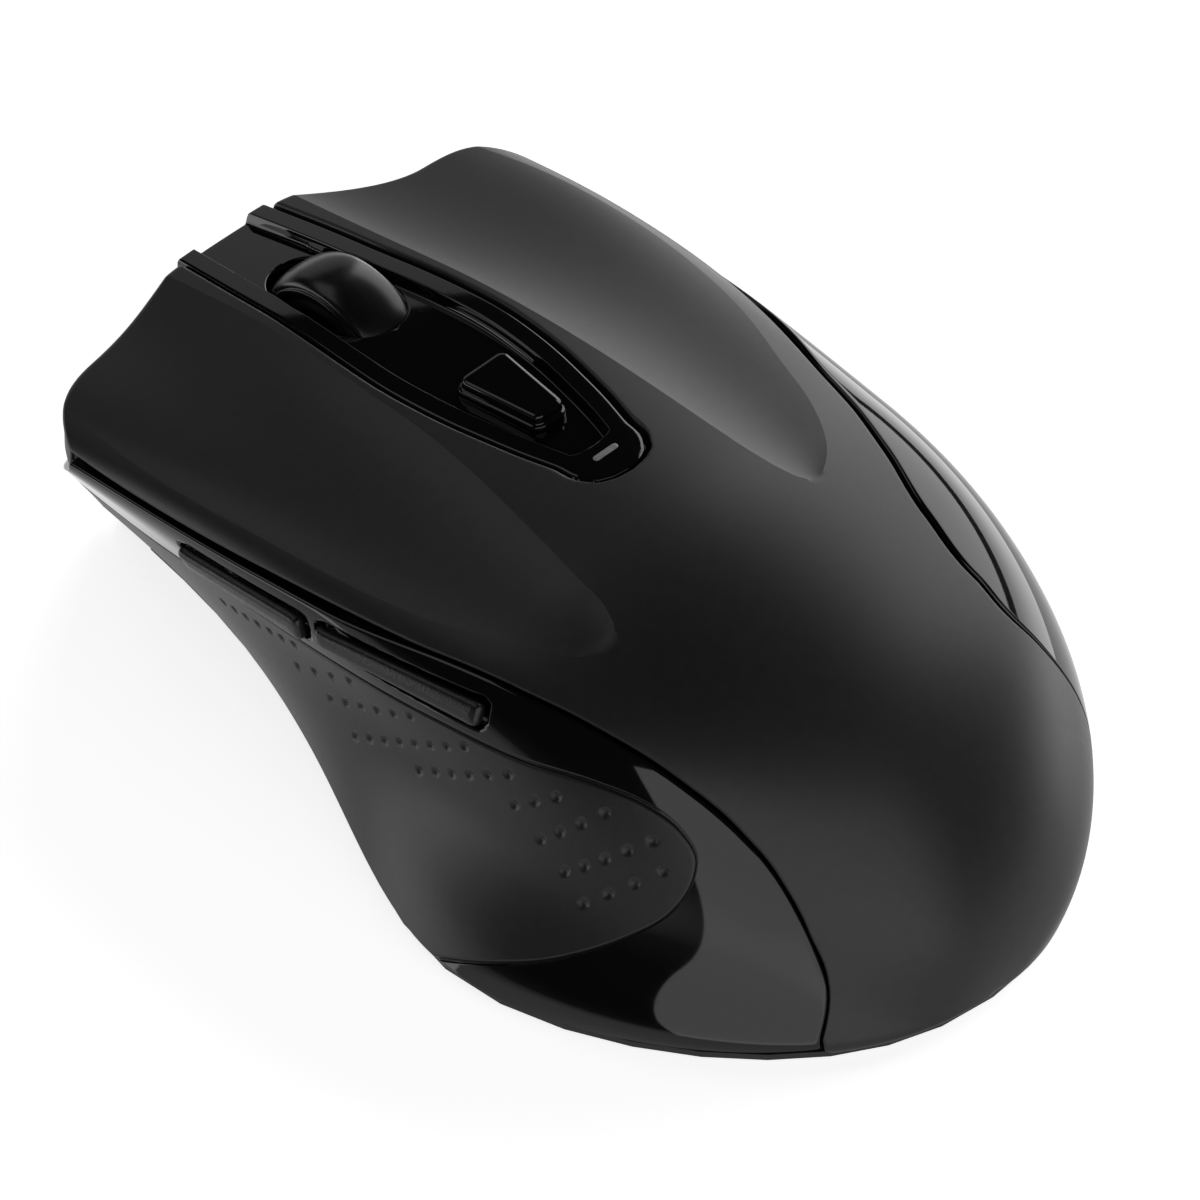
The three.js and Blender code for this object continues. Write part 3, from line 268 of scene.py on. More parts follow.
def nose_y(x):
    """Plan curve of the nose."""
    across = np.abs(x)
    step, corner, power = (np.where(x < 0, at[-1], at[1]) for at in (NOSE_STEP, NOSE_CORNER, NOSE_POWER))
    return NOSE_Y - step * smoothstep(across, *NOSE_STEP_SPAN) - corner * (across / NOSE_CORNER_X) ** power


NOSE_SAMPLES = np.linspace(0, 1, 401)
NOSE_CURVE = nose_y(skin(NOSE_Y, NOSE_SAMPLES)[:, 0])


def row_y(t, v):
    """Length of row t at girth v: -1 is the rear pole, 0 the closing line, 1 the nose edge."""
    rear = CLOSE_Y - (CLOSE_Y - REAR_Y) * np.sin(-np.minimum(t, 0) * math.pi / 2)
    front = CLOSE_Y + t * (np.interp(v, NOSE_SAMPLES, NOSE_CURVE) - CLOSE_Y)
    return np.where(t <= 0, rear, front)


def row_at(y):
    """The row at length y, on the middle line."""
    if y < CLOSE_Y:
        return -2 / math.pi * math.asin((CLOSE_Y - y) / (CLOSE_Y - REAR_Y))
    return (y - CLOSE_Y) / (NOSE_Y - CLOSE_Y)


def first_crossing(v, g):
    """Per row, the first v at which g turns positive; the last v where it never does."""
    found = (g > 0).any(1)
    k = np.maximum(np.argmax(g > 0, axis=1), 1)
    rows = np.arange(len(g))
    before, after = g[rows, k - 1], g[rows, k]
    share = np.clip(-before / np.where(after == before, 1, after - before), 0, 1)
    hit = np.where(g[:, 0] > 0, v[0], v[k - 1] + (v[k] - v[k - 1]) * share)
    return np.where(found, hit, v[-1])


CROWN_XS = np.linspace(-14, 14, 113)
CROWN_YS = np.linspace(-12, NOSE_Y + 1, 131)


def crown_table():
    """Heights of the skin over a plan grid near the middle."""
    sections = skin(CROWN_YS[:, None], np.linspace(0.28, 0.72, 177)[None, :])
    return np.array([np.interp(CROWN_XS, row[:, 0], row[:, 2]) for row in sections])


def looked_up(table, rows, columns, at_row, at_column):
    """Bilinear value of a table with evenly spaced rows and columns."""
    fy = np.clip((at_row - rows[0]) / (rows[1] - rows[0]), 0, len(rows) - 1.001)
    fx = np.clip((at_column - columns[0]) / (columns[1] - columns[0]), 0, len(columns) - 1.001)
    i, j = fy.astype(int), fx.astype(int)
    u, w = fy - i, fx - j
    low = table[i, j] * (1 - w) + table[i, j + 1] * w
    high = table[i + 1, j] * (1 - w) + table[i + 1, j + 1] * w
    return low * (1 - u) + high * u


CROWN_TABLE = crown_table()


def crown_z(x, y):
    """Height of the skin over a plan point near the middle."""
    x, y = np.broadcast_arrays(np.asarray(x, float), np.asarray(y, float))
    return looked_up(CROWN_TABLE, CROWN_YS, CROWN_XS, y, x)


def distance_to(points, line):
    """Distance of 2-D points to a polyline."""
    flat = points.reshape(-1, 2)
    a, b = line[:-1], line[1:]
    run = b - a
    size = np.maximum((run**2).sum(-1), 1e-12)
    best = np.full(len(flat), np.inf)
    for start, step, s in zip(a, run, size):
        share = np.clip(((flat - start) @ step) / s, 0, 1)
        best = np.minimum(best, ((flat - start - share[:, None] * step) ** 2).sum(-1))
    return np.sqrt(best).reshape(points.shape[:-1])


def rolled(distance, radius):
    """How far a rounded edge falls away, at a distance in from the edge."""
    back = np.clip(radius - distance, 0, radius)
    return radius - np.sqrt(radius**2 - back**2)


def run_length(points):
    """Distance along each row of points, from its first point."""
    step = np.linalg.norm(np.diff(points, axis=-2), axis=-1)
    return np.concatenate([np.zeros((*step.shape[:-1], 1)), np.cumsum(step, -1)], -1)


def eased(count):
    """0 to 1 with finer steps at both ends."""
    return (1 - np.cos(np.linspace(0, math.pi, count + 1))) / 2


def between(starts, ends, shares):
    return starts[:, None] + (ends - starts)[:, None] * shares[None, :]


# ---------------- meshes
def to_frame(points):
    return (np.asarray(points) - BOX_CENTRE) * MM


def add_object(name, data):
    thing = bpy.data.objects.new(name, data)
    bpy.context.scene.collection.objects.link(thing)
    return thing


def add_mesh(name, points, faces, material, normals=None):
    mesh = bpy.data.meshes.new(name)
    mesh.from_pydata(to_frame(points).tolist(), [], [list(map(int, f)) for f in faces])
    mesh.materials.append(material)
    mesh.shade_smooth()
    if normals is not None:
        mesh.normals_split_custom_set_from_vertices(normals.tolist())
    return add_object(name, mesh)


def grid_faces(rows, columns, offset=0, turned=False):
    i, j = np.meshgrid(np.arange(rows - 1), np.arange(columns - 1), indexing="ij")
    a = (i * columns + j).ravel() + offset
    quads = np.stack([a, a + 1, a + columns + 1, a + columns], -1)
    return quads[:, ::-1] if turned else quads


def grid_normals(points, ghost=None):
    """Vertex normals of a grid; ghost is a column just outside the first one."""
    grid = points if ghost is None else np.concatenate([ghost[:, None], points], 1)
    along = np.gradient(grid, axis=0)
    across = np.gradient(grid, axis=1)
    normals = unit(np.cross(across, along))
    return normals if ghost is None else normals[:, 1:]


def shell(name, outer, inner, material, turned=False, ghost=None):
    """A closed wall between two grids; its edge walls have their own vertices, to keep the skin smooth."""
    rows, columns = outer.shape[:2]
    sign = -1 if turned else 1
    skin_normals = grid_normals(outer, ghost) * sign
    rim = np.concatenate([
        np.arange(columns),
        np.arange(1, rows) * columns + columns - 1,
        (rows - 1) * columns + np.arange(columns - 2, -1, -1),
        np.arange(rows - 2, 0, -1) * columns,
    ])
    size = rows * columns
    top, low = outer.reshape(-1, 3), inner.reshape(-1, 3)
    points = np.concatenate([top, low, top[rim], low[rim]])
    count = len(rim)
    k = np.arange(count)
    nxt = (k + 1) % count
    wall = np.stack([2 * size + nxt, 2 * size + k, 2 * size + count + k, 2 * size + count + nxt], -1)
    outward = unit(np.cross(top[rim][nxt] - top[rim], low[rim] - top[rim]))
    faces = np.concatenate([
        grid_faces(rows, columns, 0, turned),
        grid_faces(rows, columns, size, not turned),
        wall[:, ::-1] if turned else wall,
    ])
    normals = np.concatenate([
        skin_normals.reshape(-1, 3), -skin_normals.reshape(-1, 3), outward * -sign, outward * -sign,
    ])
    return add_mesh(name, points, faces, material, normals)


def ring_faces(levels, count, turned=False):
    """Quads between stacked rings, with a cap on the first and the last ring."""
    k = np.arange(count)
    nxt = (k + 1) % count
    faces = []
    for a in range(0, (levels - 1) * count, count):
        quads = np.stack([a + k, a + nxt, a + count + nxt, a + count + k], -1)
        faces += (quads[:, ::-1] if turned else quads).tolist()
    first, last = k, (levels - 1) * count + k
    faces.append((first if turned else first[::-1]).tolist())
    faces.append((last[::-1] if turned else last).tolist())
    return faces


def ring_solid(name, outline, profile, height_of, material):
    """Nested copies of a plan outline; profile lists (inset, height above the skin), bottom rim to top."""
    outline = np.array(outline, float)
    ahead = np.roll(outline, -1, 0) - np.roll(outline, 1, 0)
    inward = unit(np.stack([-ahead[:, 1], ahead[:, 0]], -1))
    centre = outline.mean(0)
    rings = []
    for inset, height in profile:
        plan = outline + inward * inset
        rings.append(np.column_stack([plan, height_of(plan[:, 0], plan[:, 1]) + height]))
    last_plan = outline + inward * profile[-1][0]
    for share in (0.75, 0.5, 0.25, 0.02):
        plan = centre + (last_plan - centre) * share
        rings.append(np.column_stack([plan, height_of(plan[:, 0], plan[:, 1]) + profile[-1][1]]))
    return add_mesh(name, np.concatenate(rings), ring_faces(len(rings), len(outline)), material)


def lathe_x(name, profile, centre, material, steps=128):
    """A ring about a line along X: profile is a closed list of (radius, x)."""
    angles = np.linspace(0, 2 * math.pi, steps, endpoint=False)
    radius, x = np.array(profile, float).T
    y = centre[1] + np.outer(np.cos(angles), radius)
    z = centre[2] + np.outer(np.sin(angles), radius)
    points = np.stack([np.broadcast_to(x, y.shape), y, z], -1).reshape(-1, 3)
    count = len(profile)
    faces = []
    for i in range(steps):
        for j in range(count):
            a, b = i * count, ((i + 1) % steps) * count
            nxt = (j + 1) % count
            faces.append([a + j, a + nxt, b + nxt, b + j])
    return add_mesh(name, points, faces, material)


# ---------------- materials
def colour_of(grey):
    return (grey, grey, grey, 1)


def add_node(tree, kind, **values):
    """A shader node with these input values; an underscore in an input's name stands for a space."""
    node = tree.nodes.new(kind)
    for name, value in values.items():
        node.inputs[name.replace("_", " ")].default_value = value
    return node


class Look:
    """A procedural material under construction."""

    def __init__(self, name):
        self.material = bpy.data.materials.new(name)
        self.material.use_nodes = True
        self.tree = self.material.node_tree
        self.shader = self.tree.nodes["Principled BSDF"]
        self.place = self.tree.nodes.new("ShaderNodeTexCoord").outputs["Object"]

    def link(self, output, target):
        self.tree.links.new(output, target)

    def noise(self, scale, detail=3.0, roughness=0.5):
        node = add_node(self.tree, "ShaderNodeTexNoise", Scale=scale, Detail=detail, Roughness=roughness)
        self.link(self.place, node.inputs["Vector"])
        return node.outputs["Fac"]

    def cells(self, scale):
        node = add_node(self.tree, "ShaderNodeTexVoronoi", Scale=scale)
        self.link(self.place, node.inputs["Vector"])
        return node.outputs["Distance"]

    def span(self, value, low, high):
        """A 0 to 1 value stretched to low to high."""
        limits = {"From_Min": 0.25, "From_Max": 0.75, "To_Min": low, "To_Max": high}
        node = add_node(self.tree, "ShaderNodeMapRange", **limits)
        self.link(value, node.inputs["Value"])
        return node.outputs["Result"]

    def colours(self, value, first, second):
        ramp = self.tree.nodes.new("ShaderNodeValToRGB")
        ramp.color_ramp.elements[0].position = 0.3
        ramp.color_ramp.elements[0].color = first
        ramp.color_ramp.elements[1].position = 0.7
        ramp.color_ramp.elements[1].color = second
        self.link(value, ramp.inputs["Fac"])
        self.link(ramp.outputs["Color"], self.shader.inputs["Base Color"])
        return self

    def roughness(self, value, low, high):
        self.link(self.span(value, low, high), self.shader.inputs["Roughness"])
        return self

    def bump(self, value, strength, distance):
        node = add_node(self.tree, "ShaderNodeBump", Strength=strength, Distance=distance)
        self.link(value, node.inputs["Height"])
        self.link(node.outputs["Normal"], self.shader.inputs["Normal"])
        return self

    def set(self, **values):
        for name, value in values.items():
            self.shader.inputs[name.replace("_", " ").title().replace("Ior", "IOR")].default_value = value
        return self


def soft_touch_look():
    look = Look("soft_touch_coating")
    look.colours(look.noise(900), colour_of(0.0105), colour_of(0.0135))
    look.roughness(look.noise(2600, 2), 0.35, 0.4)
    look.bump(look.noise(9000, 2), 0.1, 0.00003)
    return look.set(specular_ior_level=0.42).material


def piano_gloss_look(name, roughness=0.05):
    look = Look(name)
    look.colours(look.noise(60), colour_of(0.0022), colour_of(0.0032))
    look.roughness(look.noise(1500, 2), roughness * 0.8, roughness * 1.3)
    look.bump(look.noise(350, 1), 0.02, 0.00002)
    return look.set(specular_ior_level=0.5).material


def satin_rubber_look(name, grey, roughness):
    look = Look(name)
    look.colours(look.noise(1200), colour_of(grey * 0.85), colour_of(grey * 1.15))
    look.roughness(look.noise(3000, 2), roughness - 0.02, roughness + 0.03)
    look.bump(look.noise(12000, 2), 0.04, 0.00002)
    return look.set(specular_ior_level=0.4).material


def moulded_look(name, grey, roughness=0.5):
    """Spark-eroded grain, as on a mouse's underside."""
    look = Look(name)
    look.colours(look.noise(700), colour_of(grey * 0.85), colour_of(grey * 1.15))
    look.roughness(look.noise(2000), roughness - 0.06, roughness + 0.08)
    look.bump(look.cells(4500), 0.25, 0.00005)
    return look.set(specular_ior_level=0.4).material


def window_look():
    look = Look("smoked_window")
    look.colours(look.noise(2500), colour_of(0.2), colour_of(0.26))
    look.roughness(look.noise(3000), 0.3, 0.4)
    return look.bump(look.noise(4000), 0.05, 0.00002).material


def metal_look(name, colour, roughness):
    look = Look(name)
    darker = tuple(c * 0.8 for c in colour[:3]) + (1,)
    look.colours(look.noise(1500), darker, colour)
    look.roughness(look.noise(4000), roughness * 0.8, roughness * 1.4)
    look.bump(look.noise(6000), 0.08, 0.00002)
    return look.set(metallic=1.0).material


def tinted_look(name, first, second, scale, roughness):
    look = Look(name)
    look.colours(look.noise(scale), (*first, 1), (*second, 1))
    look.roughness(look.noise(scale * 2), roughness * 0.8, roughness * 1.3)
    return look.bump(look.noise(scale * 3), 0.06, 0.00003).material


def lens_look():
    look = Look("clear_lens")
    look.colours(look.noise(500), (0.82, 0.88, 0.9, 1), (0.9, 0.94, 0.95, 1))
    look.roughness(look.noise(1500), 0.03, 0.08)
    return look.set(transmission_weight=0.85, ior=1.49).material


SOFT_TOUCH = soft_touch_look()
PANEL_GLOSS = piano_gloss_look("panel_gloss", 0.045)
CONSOLE_GLOSS = piano_gloss_look("console_gloss", 0.05)
GRIP_RUBBER = satin_rubber_look("grip_rubber", 0.011, 0.4)
WHEEL_RUBBER = satin_rubber_look("wheel_rubber", 0.005, 0.24)
KEY_PLASTIC = moulded_look("key_plastic", 0.008, 0.32)
BASE_PLASTIC = moulded_look("base_plastic", 0.012, 0.5)
INNER_PLASTIC = moulded_look("inner_plastic", 0.01, 0.55)
GLIDE = moulded_look("glide_film", 0.05, 0.3)
WINDOW = window_look()
STEEL = metal_look("bright_steel", (0.6, 0.6, 0.62, 1), 0.3)
BOARD = tinted_look("circuit_board", (0.012, 0.09, 0.035), (0.02, 0.14, 0.05), 300, 0.4)
SLEEVE = tinted_look("battery_sleeve", (0.04, 0.16, 0.36), (0.05, 0.2, 0.42), 200, 0.25)
LENS = lens_look()


# ---------------- top cover and main buttons
CONSOLE_LINE = np.array([(smooth(CONSOLE_HALF, y), y) for y in np.concatenate([
    CONSOLE_TIP_Y + 0.8 * np.linspace(0, 1, 24) ** 2, np.linspace(-1.9, NOSE_Y + 1, 90)])])


def console_distance(points):
    """Plan distance to the console's edge; a point on the far side of the tip counts as well."""
    plan = np.stack([np.abs(points[..., 0]), points[..., 1]], -1)
    return distance_to(plan, CONSOLE_LINE)


def cover_rows():
    """Rows from the rear pole to the nose edge, closer together at the console's tip and at the nose."""
    tip = row_at(CONSOLE_TIP_Y)
    span = NOSE_Y - CLOSE_Y
    nose_radius = COVER_ROUND["nose"]
    return np.concatenate([
        np.linspace(-1, tip - 2.6 / span, 120),
        np.linspace(tip - 2.5 / span, tip + 2.2 / span, 70),
        np.linspace(tip + 2.4 / span, 1 - 1.3 * nose_radius / span, 170),
        1 - nose_radius / span * (1 - np.linspace(0, 1, 12)) ** 2,
    ])


def cover_columns(side, t):
    """Girth shares of a cover half, from the console or middle line over both creases to the seam."""
    v = np.linspace(0.5, 0.0 if side < 0 else 1.0, 700)
    y = row_y(t[:, None], v[None, :])
    points = skin(y, v[None, :])
    across = np.abs(points[..., 0])
    seam_line = LEFT_SEAM if side < 0 else RIGHT_SEAM
    above_seam = smooth(seam_line, y) - points[..., 2]
    outer = first_crossing(v, np.where(y < seam_line[0][0], -1, above_seam))
    console_edge = smooth(CONSOLE_HALF, y + CONSOLE_GAP) + CONSOLE_GAP
    console_edge = np.where(y < CONSOLE_TIP_Y - CONSOLE_GAP, -1, console_edge)
    inner = first_crossing(v, across - console_edge)
    crease_in = first_crossing(v, across - smooth(DISH_INNER[side], y))
    crease_out = first_crossing(v, across - smooth(DISH_OUTER[side], y))
    rear_row = np.argmax(t > row_at(DISH_INNER[side][0][0]))
    for crease in (crease_in, crease_out):
        share = (crease[rear_row] - 0.5) / (outer[rear_row] - 0.5)
        crease[:rear_row] = 0.5 + share * (outer[:rear_row] - 0.5)
    return np.concatenate([
        between(inner, crease_in, eased(22)),
        between(crease_in, crease_out, eased(44))[:, 1:],
        between(crease_out, outer, eased(30))[:, 1:],
    ], 1)


def dish_depth(side, across, y):
    """Depth of a button's finger dish at a distance from the middle line."""
    low, high = smooth(DISH_INNER[side], y), smooth(DISH_OUTER[side], y)
    share = np.clip((2 * across - low - high) / (high - low), -1, 1)
    depth = DISH_SLOPE * (high - low) * (1 - share**2) * (1 - DISH_SKEW * share) / 4
    return np.where(y > DISH_INNER[side][0][0], depth, 0)


def cover_half(side):
    """The cover and its button on one side, as one skin that bends where the button starts."""
    t = cover_rows()
    columns = cover_columns(side, t)
    rows = np.broadcast_to(t[:, None], columns.shape)
    y = row_y(rows, columns)
    base = skin(y, columns)
    normal = skin_normal(y, columns)
    dish = dish_depth(side, np.abs(base[..., 0]), y)
    from_start = run_length(base)
    from_seam = from_start[:, -1:] - from_start
    from_nose = row_y(1.0, columns) - y
    from_console = np.maximum(console_distance(base) - CONSOLE_GAP, 0)
    depth = dish + rolled(from_seam, COVER_ROUND["seam"]) + rolled(from_console, COVER_ROUND["console"])
    depth += rolled(from_nose, COVER_ROUND["nose"])
    outer = base - normal * depth[..., None]
    inset_y = np.minimum(y, row_y(1.0, columns) - COVER_WALL)
    inner = skin(inset_y, columns) - skin_normal(inset_y, columns) * (dish + COVER_WALL)[..., None]
    inner[..., 2] = np.maximum(inner[..., 2], SHELL_Z - 0.1)
    lip = np.linspace(0, COVER_LIP, 8)[1:]
    outer = np.concatenate([outer, [outer[-1] - (0, 0, drop) for drop in lip]])
    inner = np.concatenate([inner, [inner[-1] - (0, 0, drop) for drop in lip]])
    # A mirrored column beyond the middle line, so that the two halves shade as one surface.
    ghost_v = 1 - columns[:, 1]
    ghost = skin(row_y(t, ghost_v), ghost_v)
    beside_console = row_y(t, 0.5) > CONSOLE_TIP_Y - CONSOLE_GAP
    ghost[beside_console] = (2 * outer[: len(t), 0] - outer[: len(t), 1])[beside_console]
    ghost = np.concatenate([ghost, 2 * outer[len(t):, 0] - outer[len(t):, 1]])
    name = "cover_left" if side < 0 else "cover_right"
    half = shell(name, outer, inner, SOFT_TOUCH, turned=side < 0, ghost=ghost)
    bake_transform(half)
    return half


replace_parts(cover_half(-1), "top_cover", "left_button")
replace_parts(cover_half(1), "right_button")


# ---------------- side panels and thumb grip
def girth_table(side):
    ys = np.linspace(REAR_Y + 0.3, NOSE_Y, 500)
    v = np.linspace(0, 0.42, 400) if side < 0 else np.linspace(1, 0.58, 400)
    heights = skin(ys[:, None], v[None, :])[..., 2]
    zs = np.linspace(SHELL_Z, 34, 500)
    table = np.array([np.interp(zs, np.maximum.accumulate(row), v) for row in heights])
    return ys, zs, table


GIRTHS = {side: girth_table(side) for side in (-1, 1)}


def girth_at(side, y, z):
    """The girth share of the side wall's point at (y, z)."""
    ys, zs, table = GIRTHS[side]
    return looked_up(table, ys, zs, y, z)


def panel(name, y, v, depth, material, turned=False):
    """A side panel over a grid of the skin, its face sunk by a depth at each point."""
    base, normal = skin(y, v), skin_normal(y, v)
    outer, inner = base - normal * depth[..., None], base - normal * PANEL_WALL
    return shell(name, outer, inner, material, turned)


def front_edges():
    """Length of the nose edge by height on the left side wall."""
    v = np.linspace(0, 0.36, 400)
    y = row_y(1.0, v)
    z = skin(y, v)[:, 2]
    rising = np.maximum.accumulate(z)
    return rising, y


FRONT_HEIGHTS, FRONT_LENGTHS = front_edges()


def fitted(y, z):
    """Side-view lengths drawn back so that the front end follows the nose edge."""
    front = np.interp(z, FRONT_HEIGHTS, FRONT_LENGTHS)
    share = np.clip((y - FIT_FROM_Y) / (SIDE_FRONT_Y - FIT_FROM_Y), 0, 1)
    return y + share**2 * (front - SIDE_FRONT_Y)


def even_curve(points, count):
    """Points evenly spaced along a smooth curve through 2-D points."""
    points = np.array(points, float)
    chord = run_length(points)
    fine = np.linspace(0, chord[-1], 2000)
    path = np.column_stack([smooth(list(zip(chord, points[:, k])), fine) for k in range(2)])
    length = run_length(path)
    at = np.linspace(0, length[-1], count)
    return np.column_stack([np.interp(at, length, path[:, k]) for k in range(2)])


GRIP_LINE = even_curve(GRIP_EDGE, 500)


def seam_gap(y):
    """The dark gap under the cover is wide beside the buttons and a hairline behind them."""
    return SEAM_GAP["rear"] + SEAM_GAP["more_at_nose"] * smoothstep(y, *SEAM_GAP["span"])


def key_outline(key):
    """Rounded strip of a side key, as side-view points."""
    y, z = np.array(key["y"], float), np.array(key["z"], float)
    start = np.array([y[1], z[1] + key["height"] / 2])
    end = np.array([y[0], z[0] + key["height"] / 2])
    length = np.linalg.norm(end - start)
    run = (end - start) / length
    up = np.array([-run[1], run[0]])
    half = key["height"] / 2
    angles = np.linspace(0, 2 * math.pi, 240, endpoint=False)
    squareness = 2 / 4.5
    along = np.sign(np.cos(angles)) * np.abs(np.cos(angles)) ** squareness
    across = np.sign(np.sin(angles)) * np.abs(np.sin(angles)) ** squareness
    middle = (start + end) / 2
    shift = (length / 2 - half) * np.sign(np.cos(angles))
    along = along * half + shift
    return middle + along[:, None] * run + (across * half)[:, None] * up


def closed(line):
    return np.concatenate([line, line[:1]])


def inside(points, outline):
    """Whether 2-D points lie inside a closed outline."""
    x, y = points[..., 0], points[..., 1]
    hit = np.zeros(x.shape, bool)
    for a, b in zip(outline, np.roll(outline, -1, 0)):
        crosses = (a[1] > y) != (b[1] > y)
        slope = (b[0] - a[0]) / (b[1] - a[1]) if b[1] != a[1] else 0.0
        hit ^= crosses & (x < a[0] + (y - a[1]) * slope)
    return hit


def left_panel():
    count = 460
    seam_ys = np.linspace(SIDE_FRONT_Y, LEFT_SEAM[0][0] + 0.3, 60)
    seam_zs = np.maximum(smooth(LEFT_SEAM, seam_ys) - seam_gap(seam_ys), SHELL_Z)
    top = even_curve(np.column_stack([seam_ys, seam_zs]), count)
    low = even_curve(GRIP_EDGE, count)
    shares = eased(70)[None, :, None]
    grid = top[:, None] + (low - top)[:, None] * shares
    width = np.linalg.norm(low - top, axis=1)[:, None]
    from_top = shares[..., 0] * width
    from_grip = (1 - shares[..., 0]) * width
    from_foot = grid[..., 1] - SHELL_Z
    from_front = SIDE_FRONT_Y - grid[..., 0]
    depth = rolled(from_top, PANEL_ROUND["seam"])
    depth += rolled(np.maximum(from_grip - GRIP_GAP, 0), PANEL_ROUND["grip"])
    depth += rolled(np.maximum(from_foot, 0), PANEL_ROUND["end"])
    depth += rolled(np.maximum(from_front, 0), PANEL_ROUND["end"])
    for key in SIDE_KEYS.values():
        outline = key_outline(key)
        apart = distance_to(grid, closed(outline))
        apart = np.where(inside(grid, outline), 0, apart)
        chamfer = KEY_RECESS["chamfer"] * (1 - smoothstep(apart, *KEY_RECESS["chamfer_span"]))
        moat = KEY_RECESS["moat"] * (1 - smoothstep(apart, *KEY_RECESS["moat_span"]))
        depth += chamfer + moat
    y = fitted(grid[..., 0], grid[..., 1])
    return panel("gloss_panel_left", y, girth_at(-1, y, grid[..., 1]), depth, PANEL_GLOSS)


def right_panel():
    t = np.concatenate([
        row_at(-42.2) + (row_at(-38) - row_at(-42.2)) * np.linspace(0, 1, 40),
        np.linspace(row_at(-37.8), 1 - 0.02, 240),
        1 - 0.018 * (1 - np.linspace(0, 1, 10)) ** 2,
    ])
    v = np.linspace(1.0, 0.5, 700)
    y = row_y(t[:, None], v[None, :])
    points = skin(y, v[None, :])
    top = first_crossing(v, points[..., 2] - (smooth(RIGHT_SEAM, y) - seam_gap(y)))
    columns = between(np.ones(len(t)), top, eased(70))
    y = row_y(t[:, None], columns)
    from_foot = run_length(skin(y, columns))
    from_top = from_foot[:, -1:] - from_foot
    from_nose = row_y(1.0, columns) - y
    depth = rolled(from_top, PANEL_ROUND["seam"])
    depth += rolled(from_foot, PANEL_ROUND["end"]) + rolled(from_nose, PANEL_ROUND["end"])
    return panel("gloss_panel_right", y, columns, depth, PANEL_GLOSS)


def thumb_grip():
    split = int(np.argmin(GRIP_LINE[:, 0]))
    upper = GRIP_LINE[: split + 1][::-1]
    lower = GRIP_LINE[split:]
    rear = GRIP_LINE[split, 0]
    ys = np.concatenate([
        rear + 3.0 * np.linspace(0, 1, 60) ** 2,
        np.linspace(rear + 3.15, SIDE_FRONT_Y - 0.5, 420),
        SIDE_FRONT_Y - 0.4 * (1 - np.linspace(0, 1, 8)) ** 2,
    ])
    tops = np.interp(ys, upper[:, 0], upper[:, 1])
    lows = np.where(ys > lower[-1, 0], SHELL_Z, np.interp(ys, lower[:, 0], lower[:, 1]))
    shares = eased(120)
    z = between(lows, tops, shares)
    y = np.broadcast_to(ys[:, None], z.shape)
    grid = np.stack([y, z], -1)
    from_edge = np.maximum(distance_to(grid, GRIP_LINE) - GRIP_GAP, 0)
    depth = sum(rolled(distance, GRIP_ROUND) for distance in (from_edge, z - SHELL_Z, SIDE_FRONT_Y - y))
    fitted_y = fitted(y, z)
    v = girth_at(-1, fitted_y, z)
    base = skin(fitted_y, v)
    for first, last, count in DIMPLE_ROWS:
        for share in np.linspace(0, 1, count):
            centre = np.array(first) * (1 - share) + np.array(last) * share
            middle = skin(centre[0], girth_at(-1, np.array(centre[0]), np.array(centre[1])))
            apart = np.linalg.norm(base - middle, axis=-1) / DIMPLE_RADIUS
            depth += DIMPLE_DEPTH * np.sqrt(np.clip(1 - apart**2, 0, 1))
    return panel("rubber_grip", fitted_y, v, depth, GRIP_RUBBER, turned=True)


def nose_fascia():
    """The wall under the buttons' front lips, between the front ends of the side panels."""
    across, levels = np.meshgrid(np.linspace(-1, 1, 121), np.linspace(0, 1, 30), indexing="ij")
    crown = skin(FASCIA["section_y"], np.linspace(0.3, 0.7, 300))
    z = SHELL_Z + levels * 15
    for _ in range(6):
        reach = np.zeros(z.shape)
        for side in (-1, 1):
            length = np.full(z.shape, FASCIA["section_y"])
            edge = np.abs(skin(length, girth_at(side, length, z))[..., 0]) - PANEL_WALL - FASCIA["side_gap"]
            reach = np.where(across * side >= 0, edge, reach)
        x = across * reach
        top = np.interp(x, crown[:, 0], crown[:, 2]) - FASCIA["below_crown"]
        z = SHELL_Z + levels * (np.minimum(top, FASCIA["top"]) - SHELL_Z)
    front = nose_y(x) - FASCIA["set_back"]
    outer = np.stack([x, front, z], -1)
    inner = outer - (0, FASCIA["wall"], 0)
    return shell("nose_fascia", outer, inner, BASE_PLASTIC, turned=True)


def side_key(name):
    """A pad that stands a little proud of the panel."""
    key = SIDE_KEYS[name]
    outline = key_outline(key)
    middle = outline.mean(0)
    run = unit(np.array([key["y"][0] - key["y"][1], key["z"][0] - key["z"][1]], float))
    along = (outline - middle) @ run
    reach = np.abs(along).max() - key["height"] / 2
    spine = middle + np.clip(along, -reach, reach)[:, None] * run
    inward = unit(spine - outline)
    profile = [(0.0, KEY_SKIRT), (0.0, -0.2), (0.02, -0.45), (0.1, -0.65), (0.25, -0.8), (0.45, -KEY_PROUD)]
    rings = [(outline + inward * inset, depth) for inset, depth in profile]
    for share in (0.6, 0.3, 0.02):
        rings.append((spine + (rings[-1][0] - spine) * share, -KEY_PROUD - 0.05 * (1 - share)))
    points = []
    for side_view, depth in rings:
        v = girth_at(-1, side_view[:, 0], side_view[:, 1])
        points.append(skin(side_view[:, 0], v) - skin_normal(side_view[:, 0], v) * depth)
    faces = ring_faces(len(rings), len(outline), turned=True)
    pad = add_mesh(name + "_pad", np.concatenate(points), faces, KEY_PLASTIC)
    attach(pad, name)
    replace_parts(pad, name)


